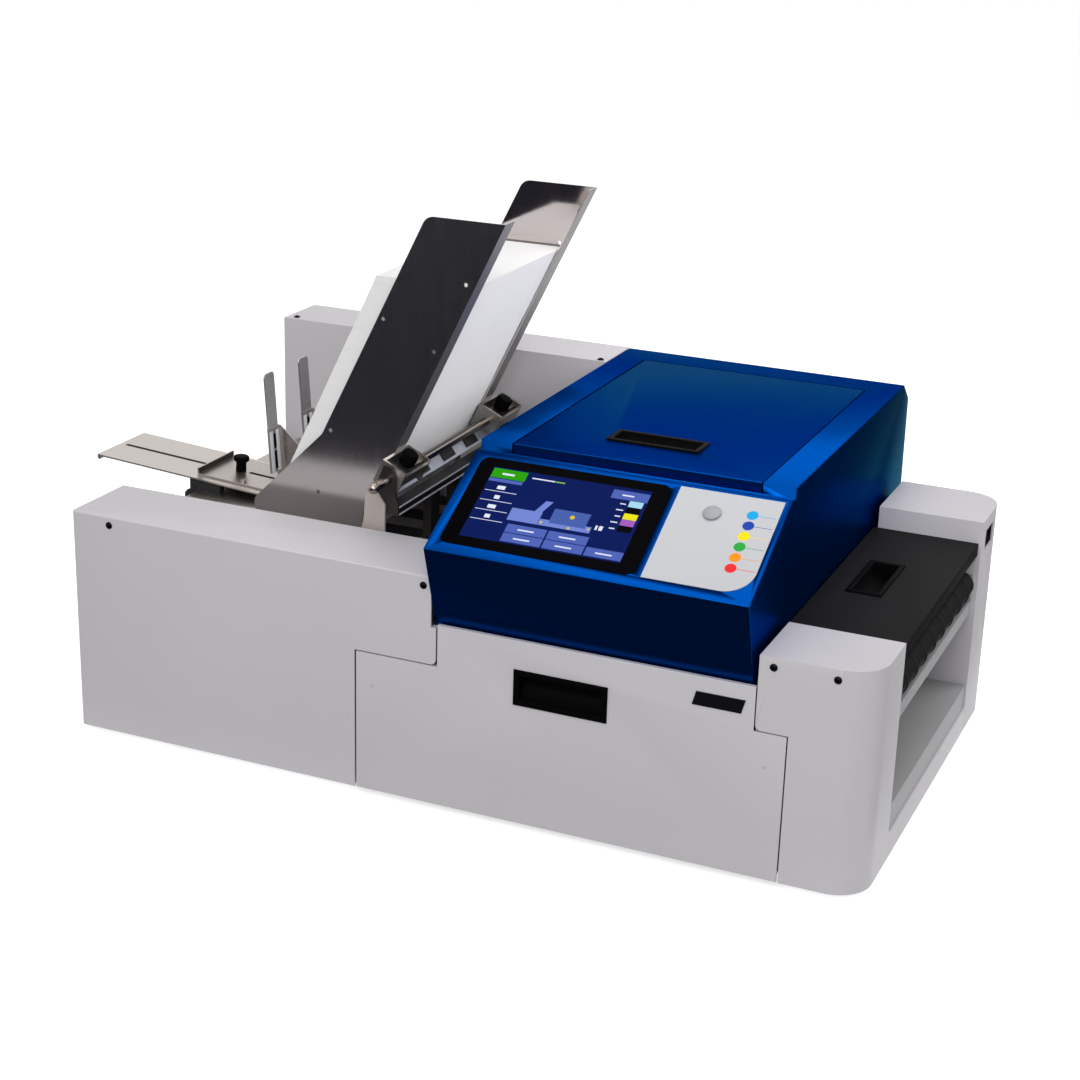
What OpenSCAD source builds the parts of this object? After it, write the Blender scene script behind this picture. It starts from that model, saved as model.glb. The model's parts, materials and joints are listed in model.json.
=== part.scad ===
// Desktop envelope printer: friction-feed hopper on the left, ink head under a lid in the
// middle, roller exit on the right.
// Working frame: X along the front from the left end, Y from the front face to the rear,
// Z up from the lower edge of the covers. place() moves it to the origin under the middle.

/* [Body] */
// Length of the body, left end to right end
body_l = 930; // [928:1:960]
// Depth of the body, front face to rear panel
body_d = 555; // [550:1:600]
// Thickness of the cover sheet
sheet = 2; // [1.5:0.1:2.5]
// Radius of the two upright corners at the right-hand end
corner_r = 40; // [20:1:60]
// Radius of the two upright corners at the left-hand end
edge_r = 5; // [4:0.5:12]
// Gap round doors and lids
panel_gap = 1.6; // [1.2:0.1:2.5]
// Height of the rubber feet
foot_h = 8; // [6:0.5:12]
// Diameter of the rubber feet
foot_d = 34; // [26:1:44]
// Thickness of the base pan
pan_t = 3; // [2:0.5:4]
// Height of the rim round the base pan
rim_h = 25; // [15:1:28]

/* [Covers] */
// Depth of the long cover in front of the hopper
feed_cover_d = 102; // [90:1:104]
// Height of the long cover in front of the hopper
feed_cover_h = 262; // [250:1:275]
// Depth of the tall cover behind the hopper
rear_cover_d = 80; // [70:1:84]
// Width of the two pillars at the exit end
pillar_w = 122; // [118:1:126]
// Depth of the front pillar
pillar_d = 97; // [80:1:100]
// Height of the front pillar
pillar_h = 244; // [242:1:260]
// Depth of the rear pillar
rear_pillar_d = 107; // [95:1:110]
// Height of the rear pillar
rear_pillar_h = 262; // [250:1:275]
// How far the long cover's tab reaches past the side of the head
tab_w = 5; // [3:0.5:8]
// Corner radius of the cover tabs
tab_r = 6; // [3:0.5:10]
// Height of the sill across the exit end
sill_h = 30; // [26:1:40]

/* [Front door] */
// How far the door reaches past the left side of the head
door_left = 90; // [60:1:110]
// How far the door reaches past the left side of the front pillar
door_over = 33; // [24:1:48]
// Height of the door's two shoulders
door_shoulder = 163; // [150:1:170]
// Height of the door's middle
door_h = 209; // [207:1:212]
// Distance of the door's hinge axis from its front face and its lower edge
door_hinge_in = 6; // [6:0.5:8]

/* [Grips] */
// Length of a recessed grip
grip_l = 105; // [90:1:120]
// Width of a recessed grip
grip_w = 40; // [34:1:44]
// Width of the rim round a grip
grip_rim = 4; // [3:0.5:6]
// Height of the rim above its panel
grip_rim_h = 2; // [1:0.5:2.5]
// Depth of a grip below its panel
grip_depth = 16; // [12:0.5:20]
// Wall of a grip
grip_wall = 2; // [1.5:0.1:2.5]

/* [Head] */
// Gap between the head and the side of the front pillar
head_gap = 7; // [6:0.5:9]
// Width of the head
head_w = 351; // [345:1:352]
// Height of the head's flat top
head_h = 381.5; // [378:0.5:390]
// Rear face of the head from the body's front face
head_back = 580; // [570:1:600]
// How far the console's nose stands in front of the body
nose_out = 22.6; // [15:0.1:30]
// Height of the console's nose
nose_h = 301; // [290:1:310]
// Upper edge of the console from the front face
console_back = 102; // [96:0.5:106]
// Height of the console's upper edge
console_h = 371.5; // [369:0.5:373]
// Height of the head's lower edge
skirt_h = 205; // [203:0.5:206]
// Lower edge of the head's front from the front face
skirt_in = 9; // [8:0.5:12]
// Wall of the head
head_wall = 3; // [2.5:0.1:4]
// Left edge of the lid from the left side of the head
lid_in = 38; // [30:1:48]
// Width of the lid
lid_w = 276; // [260:1:282]
// Front edge of the lid from the front face
lid_y0 = 115.5; // [112:0.5:120]
// Length of the lid, front to rear
lid_l = 391.5; // [380:0.5:396]

/* [Console] */
// Width of the touchscreen glass
glass_w = 214; // [205:1:218]
// Height of the touchscreen glass along the slope
glass_h = 124; // [115:1:128]
// Left edge of the glass from the left side of the head
glass_in = 12; // [8:0.5:16]
// Lower edge of the glass up the slope
glass_up = 13; // [9:0.5:16]
// Corner radius of the glass
glass_r = 10; // [4:0.5:14]
// Width of the display behind the glass
display_w = 177.5; // [165:0.5:190]
// Height of the display
display_h = 99.5; // [90:0.5:106]
// Width of the key panel beside the glass
keys_w = 111; // [100:1:113]
// Height of the key panel along the slope
keys_h = 126; // [115:1:128]
// Large radius at the key panel's lower right corner
keys_r = 30; // [15:1:40]
// Diameter of the power button
button_d = 18; // [14:0.5:22]

/* [Exit] */
// Height of the exit cover's top
exit_h = 237; // [236:0.5:240]
// Depth of the lip at the exit cover's right edge
exit_lip = 13; // [8:0.5:16]
// Diameter of the exit rollers
exit_roller_d = 32; // [28:0.5:34]
// Diameter of the round exit belts
exit_belt_d = 4; // [3:0.5:5]
// Number of round exit belts
exit_belts_n = 8; // [4:1:9]

/* [Hopper] */
// Length of the black deck between the feed table and the head
deck_l = 105; // [98:1:115]
// Middle of the paper path from the front face
path_y = 273; // [270:0.5:276]
// Length of an envelope across the path
envelope_w = 241; // [220:1:246]
// Height of an envelope along the path
envelope_l = 118; // [105:1:122]
// Clear width between the two side guides
guide_gap = 252; // [249:1:256]
// Height of the side guides
guide_h = 607; // [580:1:640]
// Lean of the side guides from upright
guide_lean = 25.5; // [20:0.5:28]
// Thickness of the guide sheet
guide_t = 1.5; // [1:0.1:2]
// Width of the flange that stops the stack
flange_w = 24.5; // [18:0.5:28]
// Height of the top of the stack
stack_h = 535; // [460:1:560]
// Diameter of the rod that carries the guides
rod_d = 10; // [8:0.5:12]

/* [Tray] */
// How far the tray stands out past the left end
tray_out = 120; // [80:1:140]
// Height of the tray's right end
tray_z1 = 231; // [231:0.5:237]
// Fall of the tray towards the hopper
tray_tilt = 3.75; // [3:0.05:4]
// Width of the tray
tray_w = 102; // [92:1:110]
// Thickness of the tray
tray_t = 2; // [1.5:0.1:2.5]
// Width of the slot along the tray
slot_w = 6; // [5:0.5:8]

/* [Hidden] */
$fn = 48;
// clearances
run_fit = 0.05;
move_gap = 0.3;
seat = 0.2;
// places along X
pillar_x0 = body_l - pillar_w;
head_x1 = pillar_x0 - head_gap;
head_x0 = head_x1 - head_w;
head_mid = head_x0 + head_w / 2;
door_x0 = head_x0 - door_left;
door_x1 = pillar_x0 + door_over;
cover_x1 = head_x0 - 1;
lid_x0 = head_x0 + lid_in;
lid_x1 = lid_x0 + lid_w;
exit_x0 = head_x1 + 2.5;
exit_x1 = body_l - 3.2;
tray_x0 = -tray_out;
// places along Y
rear_cover_y0 = body_d - rear_cover_d;
rear_pillar_y0 = body_d - rear_pillar_d;
lid_back = lid_y0 + lid_l;
// hinges
pin_d = 4;
ear_t = 4;
lid_pin_d = 3;
lid_axis = [lid_back - 8, head_h - 4];
exit_axis = [pillar_x0 + 5, exit_h - 4];
ear_d = 7;
door_ears = [door_x0 + 30, door_x1 - 30];
door_clear = 18;
// grips
door_grip_off = [27.5, 52];
lid_grip_in = 79;
exit_grip_in = 47;
// console slope
console_angle = atan2(console_h - nose_h, console_back + nose_out);
console_run = norm([console_h - nose_h, console_back + nose_out]);
glass_t = 2;
keys_in = glass_in + glass_w + 8;
keys_t = 1.5;
keys_proud = 0.5;
button_at = [keys_in + 43, glass_up + 96];
// feeder
frame_t = 3;
frame_y = [path_y - 163, path_y + 160];
table_z = 222;
table_t = 2;
table_x0 = 21;
table_x1 = head_x0 - deck_l;
feed_belt_y = [path_y - 60, path_y, path_y + 60];
feed_belt_w = 28;
feed_belt_t = 3;
feed_r = 16;
feed_z = table_z + move_gap - feed_belt_t - move_gap - feed_r;
feed_x = [table_x1 - 175, table_x1 - 25];
shaft_d = 10;
belt_top = feed_z + feed_r + move_gap + feed_belt_t;
deck_z = 212;
post_x = [table_x1 - 37, table_x1 - 8];
// hopper lines: x of the flange's outer face at a height
lean = tan(guide_lean);
flange_z0 = 335;
flange_foot = table_x1 - 15.7;
flange_across = guide_t / cos(guide_lean);
function flange_x(z) = flange_foot + (z - flange_z0) * lean;
guide_x1 = flange_x(guide_h);
guide_top_w = 92;
guide_foot = [table_x1 - 198, table_x1 - 56];
guide_foot_z = 243;
guide_toe_z = 255;
guide_heel_z = 283;
guide_bend = [table_x1 - 106, 347];
guide_hole_d = 4.5;
// holes in a guide: distance from the flange, height
guide_holes = [[11.5, 538], [87, 489], [11.5, 460], [88, 353], [68, 278]];
guide_y = [path_y - guide_gap / 2 - guide_t, path_y + guide_gap / 2];
rod_at = [table_x1 - 6, 318];
rod_out = 30;
tab_z0 = 316;
gate_at = [table_x1 - 28.5, 306.5];
gate_pads = [path_y - 52, path_y + 15, path_y + 77];
beam_x = [table_x1 - 9, table_x1 + 7];
beam_z = [278, 288];
post_h = 300;
end_plate_y = [frame_y[0] + frame_t, frame_y[1] - frame_t];
clamp_len = 62;
clamp_y0 = end_plate_y[0] + frame_t + 0.5;
clamp_t = 3;
clamp_reach = 15;
clamp_half = 13;
clamp_back = (rod_at[0] - flange_x(rod_at[1])) * cos(guide_lean);
knob_d = 19;
knob_lean = 27;
stem_d = 6;
// tray
tray_x1 = table_x1 - 204;
hem = 6;
tray_left = tray_x0 + hem * sin(tray_tilt);
tray_l = (tray_x1 - tray_left) / cos(tray_tilt);
tray_z0 = tray_z1 + (tray_x1 - tray_left) * tan(tray_tilt);
tray_y0 = path_y - tray_w / 2;
slot_x = [8, tray_l - 20];
channel_w = 22;
channel_h = 9;
channel_t = 1.5;
carriage_w = 80;
carriage_x = [tray_l - 124, tray_l - 12];
carriage_t = 2;
carriage_knob_x = tray_l - 87;
carriage_stem_d = 5;
finger_y = [path_y - 33, path_y + 48];
finger_x = table_x1 - 224;
finger_z = [258, 313, 379];
finger_w = 22;
finger_lean = 4;
function tray_top(x) = tray_z0 - (x - tray_left) * tan(tray_tilt);
function carriage_top(x) = tray_top(x) + (carriage_t + move_gap) / cos(tray_tilt);
// print engine
transport_x = [head_x0 + 25, head_x1 - 26];
transport_r = 16;
transport_z = 201;
transport_w = 220;
transport_belt_t = 2;
engine_y = [path_y - 133, path_y + 130];
cradle_z = 305;
tank_pitch = 44;
tank_w = 40;
tank_n = 5;
tank_x0 = head_mid - tank_n / 2 * tank_pitch;
supply_x = [-5, 135];
supply_h = 75;
// exit
exit_roller_x = [body_l - 100, body_l - 19];
exit_roller_z = 186;
exit_axle_d = 8;
exit_plate_t = 3;
exit_groove_r = exit_roller_d / 2 - 2.8;
exit_belt_r = exit_groove_r + move_gap + exit_belt_d / 2;
exit_y = [pillar_d, rear_pillar_y0];
exit_len = exit_y[1] - exit_y[0] - 2 * exit_plate_t - 8;
bay_floor_z = 60;
// rear
panel_top = 240;
inlet_at = [head_x0 + 70, 48];
switch_at = [head_x0 + 118, 48];
switch_size = [12, 8, 18];
switch_pin_d = 3;
// screws
screw_d = 4;
screw_head_d = 8;

// Shared shapes

// Moves the working frame to the part's origin, under the middle of the whole object
module place() {
    translate([-(tray_x0 + body_l) / 2, -(head_back - nose_out) / 2, foot_h])
        children();
}

// Box between two corners
module box(low, high) {
    translate(low)
        cube(high - low);
}

// Outline in X and Z, extruded along Y from y0
module plate_xz(pts, y0, t) {
    translate([0, y0 + t, 0])
        rotate([90, 0, 0])
            linear_extrude(t)
                polygon(pts);
}

// Outline in Y and Z, extruded along X from x0
module plate_yz(pts, x0, t) {
    translate([x0, 0, 0])
        rotate([90, 0, 90])
            linear_extrude(t)
                polygon(pts);
}

module rod_x(x0, x1, y, z, d) {
    translate([x0, y, z])
        rotate([0, 90, 0])
            cylinder(d = d, h = x1 - x0);
}

module rod_y(y0, y1, x, z, d) {
    translate([x, y0, z])
        rotate([-90, 0, 0])
            cylinder(d = d, h = y1 - y0);
}

module rod_z(z0, z1, x, y, d) {
    translate([x, y, z0])
        cylinder(d = d, h = z1 - z0);
}

// What a rounded corner takes off, with the round's centre at c, turned by quarter turns
module corner_cut(c, quarter, r) {
    translate(c)
        rotate(90 * quarter)
            difference() {
                square(r + 1);
                circle(r);
            }
}

// Plan of the body, drawn in by inset
module footprint(inset) {
    difference() {
        translate([inset, inset])
            square([body_l - 2 * inset, body_d - 2 * inset]);
        corner_cut([edge_r, edge_r], 2, edge_r - inset);
        corner_cut([edge_r, body_d - edge_r], 1, edge_r - inset);
        corner_cut([body_l - corner_r, corner_r], 3, corner_r - inset);
        corner_cut([body_l - corner_r, body_d - corner_r], 0, corner_r - inset);
    }
}

// Rectangle with its own radius at each corner: lower left, lower right, upper right, upper left
module soft_rect(w, h, r) {
    difference() {
        square([w, h]);
        if (r[0] > 0)
            corner_cut([r[0], r[0]], 2, r[0]);
        if (r[1] > 0)
            corner_cut([w - r[1], r[1]], 3, r[1]);
        if (r[2] > 0)
            corner_cut([w - r[2], h - r[2]], 0, r[2]);
        if (r[3] > 0)
            corner_cut([r[3], h - r[3]], 1, r[3]);
    }
}

// Sheet cover over the part of the plan between two corners, open below and where asked
module cover_shell(low, high, h, open_left, open_right) {
    difference() {
        linear_extrude(h)
            intersection() {
                footprint(0);
                translate(low)
                    square(high - low);
            }
        translate([0, 0, -1])
            linear_extrude(h - sheet + 1)
                intersection() {
                    footprint(sheet);
                    translate([low[0] - (open_left ? 1 : -sheet), low[1] + sheet])
                        square([
                            high[0] - low[0] + (open_left ? 1 : -sheet) + (open_right ? 1 : -sheet),
                            high[1] - low[1] - 2 * sheet
                        ]);
                }
        pan_body();
    }
}

// Line through p along d meets the line through q along e
function cross2(a, b) = a[0] * b[1] - a[1] * b[0];
function line_meet(p, d, q, e) = p + d * cross2(q - p, e) / cross2(d, e);

// Outline drawn in by t, for points listed anticlockwise
function drawn_in(pts, t) = [
    for (i = [0 : len(pts) - 1])
        let (
            a = pts[(i + len(pts) - 1) % len(pts)],
            b = pts[i],
            c = pts[(i + 1) % len(pts)],
            d1 = (b - a) / norm(b - a),
            d2 = (c - b) / norm(c - b)
        )
        line_meet(a + t * [-d1[1], d1[0]], d1, b + t * [-d2[1], d2[0]], d2)
];

// Closed loop of flat belt round two pulleys
module flat_belt(x, z, r, t, y0, w) {
    translate([0, y0 + w, 0])
        rotate([90, 0, 0])
            linear_extrude(w)
                difference() {
                    belt_outline(x, z, r + t);
                    belt_outline(x, z, r);
                }
}

module belt_outline(x, z, r) {
    union() {
        translate([x[0], z])
            circle(r);
        translate([x[1], z])
            circle(r);
        translate([x[0], z - r])
            square([x[1] - x[0], 2 * r]);
    }
}

// Recessed grip with its panel's face at Z 0, long side along X, deep side towards -Y
module grip_cup() {
    in_l = grip_l - 2 * grip_rim;
    in_w = grip_w - 2 * grip_rim;
    reach = in_w / 2 - grip_wall;
    difference() {
        union() {
            translate([-grip_l / 2, -grip_w / 2, 0])
                cube([grip_l, grip_w, grip_rim_h]);
            translate([-in_l / 2, -in_w / 2, -grip_depth])
                cube([in_l, in_w, grip_depth + 1]);
        }
        plate_yz(
            [
                [-reach, grip_wall - grip_depth],
                [0, grip_wall - grip_depth],
                [reach, -grip_depth / 2],
                [reach, grip_rim_h + 1],
                [-reach, grip_rim_h + 1]
            ],
            grip_wall - in_l / 2,
            in_l - 2 * grip_wall
        );
    }
}

// Hole that a grip goes through
module grip_hole() {
    l = grip_l - 2 * grip_rim + 2 * seat;
    w = grip_w - 2 * grip_rim + 2 * seat;
    translate([-l / 2, -w / 2, -grip_depth])
        cube([l, w, 2 * grip_depth]);
}

module at_door_grip() {
    translate([head_mid - door_grip_off[0], 0, door_h - door_grip_off[1]])
        rotate([90, 0, 0])
            rotate([0, 0, 180])
                children();
}

module at_lid_grip() {
    translate([lid_x0 + lid_w / 2 - 4, lid_y0 + lid_grip_in, head_h])
        children();
}

module at_exit_grip() {
    translate([exit_x0 + exit_grip_in, path_y + 6, exit_h])
        rotate([0, 0, 90])
            children();
}

// Frame on the console: X along the front, Y up the slope, Z out of it
module on_console() {
    translate([head_x0, -nose_out, nose_h])
        rotate([console_angle, 0, 0])
            children();
}

// Frame on the tray: X down the tray from its left end, Z out of its top
module on_tray() {
    translate([tray_left, 0, tray_z0])
        rotate([0, tray_tilt, 0])
            children();
}

// Frame on the guide rod at a clamp: X away from the flange, Z up along it
module at_rod() {
    translate([rod_at[0], 0, rod_at[1]])
        rotate([0, guide_lean, 0])
            children();
}

// Mirror image of a front hopper piece about the paper path
module rear_hand() {
    translate([0, 2 * path_y, 0])
        mirror([0, 1, 0])
            children();
}

// Chassis and covers

module pan_body() {
    difference() {
        union() {
            linear_extrude(pan_t)
                footprint(sheet);
            linear_extrude(rim_h)
                difference() {
                    footprint(sheet);
                    footprint(sheet + pan_t);
                }
        }
        box([door_x0 - 4, -1, -1], [door_x1 + 4, door_clear, rim_h + 1]);
    }
}

// Upright lug that carries one door hinge pin
module door_lug(x) {
    a = door_hinge_in;
    difference() {
        union() {
            plate_yz(
                [
                    [a, a - 2.5],
                    [door_clear + 14, pan_t],
                    [door_clear + 14, a + 12],
                    [door_clear, a + 12],
                    [a, a + ear_d / 2]
                ],
                x,
                ear_t
            );
            rod_x(x, x + ear_t, a, a, ear_d);
        }
        box([x - 1, -1, -1], [x + ear_t + 1, body_d, pan_t]);
        rod_x(x - 1, x + ear_t + 1, a, a, pin_d);
    }
}

module base_pan() {
    color("silver")
        place() {
            pan_body();
            for (x = door_ears)
                door_lug(x);
        }
}

module rubber_feet() {
    xs = [50, body_l / 2, body_l - 60];
    ys = [50, body_d - 60];
    color("#222222")
        place()
            for (x = xs, y = ys)
                translate([x, y, -foot_h])
                    difference() {
                        cylinder(d1 = foot_d - 4, d2 = foot_d, h = foot_h);
                        translate([0, 0, -1])
                            cylinder(d = foot_d / 2.4, h = foot_h / 2 + 1);
                    }
}

// Places of the cover screws: point and outward direction
function front_screws() = [
    [50, 0, feed_cover_h - 10],
    [cover_x1 - 9, 0, feed_cover_h - 11],
    [pillar_x0 + 15, 0, pillar_h - 10.5],
    [body_l - corner_r - 2, 0, pillar_h - 11]
];
function top_screws() = [
    [14, rear_cover_y0 + 9, head_h],
    [cover_x1 - 9, rear_cover_y0 + 6, head_h]
];

module screw_holes() {
    for (p = front_screws())
        rod_y(-1, 10, p[0], p[2], screw_d);
    for (p = top_screws())
        rod_z(head_h - 10, head_h + 1, p[0], p[1], screw_d);
}

// Button-head screw: face on Z 0, head up, shank down
module button_screw() {
    difference() {
        union() {
            intersection() {
                cylinder(d = screw_head_d, h = 2.4);
                translate([0, 0, -3.4])
                    sphere(r = 5.8);
            }
            translate([0, 0, -8])
                cylinder(d = screw_d, h = 8.5);
        }
        translate([0, 0, 1])
            cylinder(d = 3, h = 3, $fn = 6);
    }
}

module cover_screws() {
    color("#1b1b1b")
        place() {
            for (p = front_screws())
                translate(p)
                    rotate([90, 0, 0])
                        button_screw();
            for (p = top_screws())
                translate(p)
                    button_screw();
        }
}

// Cut in a front cover for the door: outline from the given side, with a rounded tab corner
module door_cut(x0, x1, h) {
    box([x0, -1, -1], [x1, sheet + 1, h]);
}

module front_left_cover() {
    tab_x1 = head_x0 + tab_w;
    color("gainsboro")
        place()
            difference() {
                union() {
                    cover_shell([0, 0], [cover_x1, feed_cover_d], feed_cover_h, false, true);
                    translate([0, sheet, 0])
                        rotate([90, 0, 0])
                            linear_extrude(sheet)
                                translate([cover_x1 - 20, door_shoulder])
                                    soft_rect(
                                        tab_x1 - cover_x1 + 20,
                                        skirt_h - door_shoulder,
                                        [0, tab_r, 0, 0]
                                    );
                    box([cover_x1 - 1, 0, skirt_h - sheet], [tab_x1, skirt_in - move_gap, skirt_h]);
                }
                door_cut(door_x0 - panel_gap, cover_x1 + 1, door_shoulder);
                screw_holes();
            }
}

module front_right_cover() {
    color("gainsboro")
        place()
            difference() {
                cover_shell([pillar_x0, 0], [body_l, pillar_d], pillar_h, false, false);
                door_cut(pillar_x0 - 1, door_x1 + panel_gap, door_shoulder);
                box([pillar_x0 - 1, -1, -1], [door_x1 + panel_gap, door_clear, rim_h]);
                translate([pillar_x0, sheet + 1, door_shoulder])
                    rotate([90, 0, 0])
                        linear_extrude(sheet + 2)
                            corner_cut([tab_r, tab_r], 2, tab_r);
                rod_y(pillar_d - sheet - 1, pillar_d + 1, exit_axis[0], exit_axis[1], pin_d);
                screw_holes();
            }
}

module rear_cover() {
    color("gainsboro")
        place()
            difference() {
                cover_shell([0, rear_cover_y0], [cover_x1, body_d], head_h, false, true);
                screw_holes();
            }
}

module rear_right_cover() {
    color("gainsboro")
        place()
            difference() {
                cover_shell([pillar_x0, rear_pillar_y0], [body_l, body_d], rear_pillar_h, false, false);
                rod_y(rear_pillar_y0 - 1, rear_pillar_y0 + sheet + 1, exit_axis[0], exit_axis[1], pin_d);
                box(
                    [body_l - sheet - 1, rear_pillar_y0 + 20, rear_pillar_h - 40],
                    [body_l + 1, rear_pillar_y0 + 60, rear_pillar_h - 16]
                );
            }
}

module rear_panel() {
    color("gainsboro")
        place()
            difference() {
                box([cover_x1, body_d - sheet, 0], [pillar_x0, body_d, panel_top]);
                box(
                    [inlet_at[0] - 14, body_d - sheet - 1, inlet_at[1] - 10],
                    [inlet_at[0] + 14, body_d + 1, inlet_at[1] + 10]
                );
                box(
                    [switch_at[0] - 6.5, body_d - sheet - 1, switch_at[1] - 10],
                    [switch_at[0] + 6.5, body_d + 1, switch_at[1] + 10]
                );
                for (i = [0 : 7])
                    box(
                        [head_x0 + 180 + 18 * i, body_d - sheet - 1, 90],
                        [head_x0 + 186 + 18 * i, body_d + 1, 160]
                    );
            }
}

module left_end_panel() {
    color("gainsboro")
        place()
            box([0, feed_cover_d, 0], [sheet, rear_cover_y0, table_z - 20]);
}

module end_sill() {
    span = exit_y[1] - exit_y[0];
    color("gainsboro")
        place()
            translate([body_l - sheet, exit_y[0], 0])
                rotate([90, 0, 90])
                    linear_extrude(sheet)
                        difference() {
                            square([span, sill_h + tab_r]);
                            translate([tab_r, sill_h])
                                square([span - 2 * tab_r, tab_r + 1]);
                            translate([tab_r, sill_h + tab_r])
                                circle(tab_r);
                            translate([span - tab_r, sill_h + tab_r])
                                circle(tab_r);
                        }
}

module bay_liner() {
    x0 = pillar_x0 - 4;
    color("darkgray")
        place() {
            box([x0, exit_y[0], bay_floor_z - sheet], [body_l - sheet, exit_y[1], bay_floor_z]);
            box([x0, exit_y[0], sill_h], [x0 + sheet, exit_y[1], exit_roller_z]);
        }
}

// Head

// Side outline of the head in Y and Z, anticlockwise from its lower front corner
ledge = [115, 369.5];
head_side = [
    [skirt_in, skirt_h],
    [body_d - 2.5, skirt_h],
    [body_d - 2.5, panel_top],
    [head_back, panel_top],
    [head_back - 3, head_h - 21.5],
    [head_back - 29, head_h],
    [ledge[0], head_h],
    ledge,
    [console_back, console_h],
    [-nose_out, nose_h]
];
head_inner = drawn_in(head_side, head_wall);

// Holes of one vent group on the right side of the head
vent_d = 5;
vent_spots = [[0, 15], [5, 8], [-16, 8], [7, 0], [-18, 0]];
vent_y = [251, 348];

// Strip under one long edge of the lid
module lid_ledge(x_roof, x_in) {
    low_x = min(x_roof, x_in);
    high_x = max(x_roof, x_in);
    lip = sign(x_in - x_roof);
    y0 = ledge[0] + head_wall;
    y1 = lid_axis[0] - 20;
    box([low_x, y0, head_h - 6.5], [high_x, y1, head_h - 3.3]);
    box(
        [lip > 0 ? low_x : high_x - 6, y0, head_h - 6.5],
        [lip > 0 ? low_x + 6 : high_x, y1, head_h - 1]
    );
}

// Lug beside the lid that carries one lid pin
module lid_lug(x) {
    rod_x(x, x + ear_t, lid_axis[0], lid_axis[1], ear_d);
    box(
        [x, lid_axis[0] - ear_d / 2, lid_axis[1]],
        [x + ear_t, lid_axis[0] + ear_d / 2, head_h - 1]
    );
}

module head_housing() {
    color("mediumblue")
        place()
            difference() {
                union() {
                    difference() {
                        plate_yz(head_side, head_x0, head_w);
                        plate_yz(head_inner, head_x0 + head_wall, head_w - 2 * head_wall);
                        box(
                            [head_x0 + head_wall, head_inner[0][0], skirt_h - 1],
                            [head_x1 - head_wall, head_inner[1][0], head_inner[1][1] + 1]
                        );
                        box(
                            [lid_x0 - panel_gap, ledge[0] - 0.5, ledge[1] + 0.3],
                            [lid_x1 + panel_gap, lid_back + panel_gap, head_h + 1]
                        );
                    }
                    lid_ledge(lid_x0 - panel_gap - 6, lid_x0 + 6);
                    lid_ledge(lid_x1 + panel_gap + 6, lid_x1 - 6);
                    lid_lug(lid_x0 - panel_gap - ear_t);
                    lid_lug(lid_x1 + panel_gap);
                }
                on_console()
                    console_pockets();
                rod_x(
                    lid_x0 - panel_gap - ear_t - 1,
                    lid_x1 + panel_gap + ear_t + 1,
                    lid_axis[0],
                    lid_axis[1],
                    lid_pin_d
                );
                box(
                    [head_x0 - 1, engine_y[0] + 5, skirt_h - 1],
                    [head_x0 + head_wall + 1, engine_y[1] - 2, feed_cover_h]
                );
                box(
                    [head_x1 - head_wall - 1, engine_y[0] + 5, skirt_h - 1],
                    [head_x1 + 1, engine_y[1] - 2, exit_h - 5]
                );
                for (y = vent_y, p = vent_spots)
                    rod_x(head_x1 - head_wall - 1, head_x1 + 1, y + p[0], panel_top + p[1], vent_d);
            }
}

// Cuts for the glass, the display, the key panel and the button, in the console's frame
module console_pockets() {
    translate([glass_in - seat, glass_up - seat, -glass_t + keys_proud])
        linear_extrude(10)
            soft_rect(glass_w + 2 * seat, glass_h + 2 * seat, [glass_r, glass_r, glass_r, glass_r]);
    translate([display_at[0] - seat, display_at[1] - seat, -20])
        cube([display_w + 2 * seat, display_h + 2 * seat, 30]);
    translate([keys_in - seat, glass_up - seat, -keys_t + keys_proud])
        linear_extrude(10)
            soft_rect(keys_w + 2 * seat, keys_h + 2 * seat, [0, keys_r, 0, 0]);
    translate([button_at[0], button_at[1], -20])
        cylinder(d = button_d + 2 * run_fit, h = 40);
}

display_at = [glass_in + (glass_w - display_w) / 2, glass_up + (glass_h - display_h) / 2];
display_t = 7;

module touchscreen_glass() {
    color("black")
        place()
            on_console()
                translate([glass_in, glass_up, -glass_t + keys_proud])
                    linear_extrude(glass_t)
                        soft_rect(glass_w, glass_h, [glass_r, glass_r, glass_r, glass_r]);
}

module display_panel() {
    color("dimgray")
        place()
            on_console()
                translate([display_at[0], display_at[1], -glass_t + keys_proud - display_t])
                    cube([display_w, display_h, display_t]);
}

module membrane_panel() {
    color("#202020")
        place()
            on_console()
                difference() {
                    translate([keys_in, glass_up, -keys_t + keys_proud])
                        linear_extrude(keys_t)
                            soft_rect(keys_w, keys_h, [0, keys_r, 0, 0]);
                    translate([button_at[0], button_at[1], -20])
                        cylinder(d = button_d + 2 * run_fit, h = 40);
                }
}

// Button through the key panel with a shoulder behind the console's wall
module power_button() {
    color("gray")
        place()
            on_console()
                translate([button_at[0], button_at[1], 0]) {
                    translate([0, 0, -10])
                        cylinder(d = button_d, h = 12.4);
                    translate([0, 0, -12])
                        cylinder(d = button_d + 5, h = 2.5);
                    intersection() {
                        cylinder(d = button_d, h = 6);
                        translate([0, 0, -24])
                            sphere(r = 28, $fn = 96);
                    }
                }
}

lid_t = 2.5;

module lid_ear(x) {
    difference() {
        union() {
            rod_x(x, x + ear_t, lid_axis[0], lid_axis[1], ear_d);
            box(
                [x, lid_axis[0] - ear_d / 2, lid_axis[1]],
                [x + ear_t, lid_axis[0] + ear_d / 2, head_h - 1]
            );
        }
        rod_x(x - 1, x + ear_t + 1, lid_axis[0], lid_axis[1], lid_pin_d + 2 * run_fit);
    }
}

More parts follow.
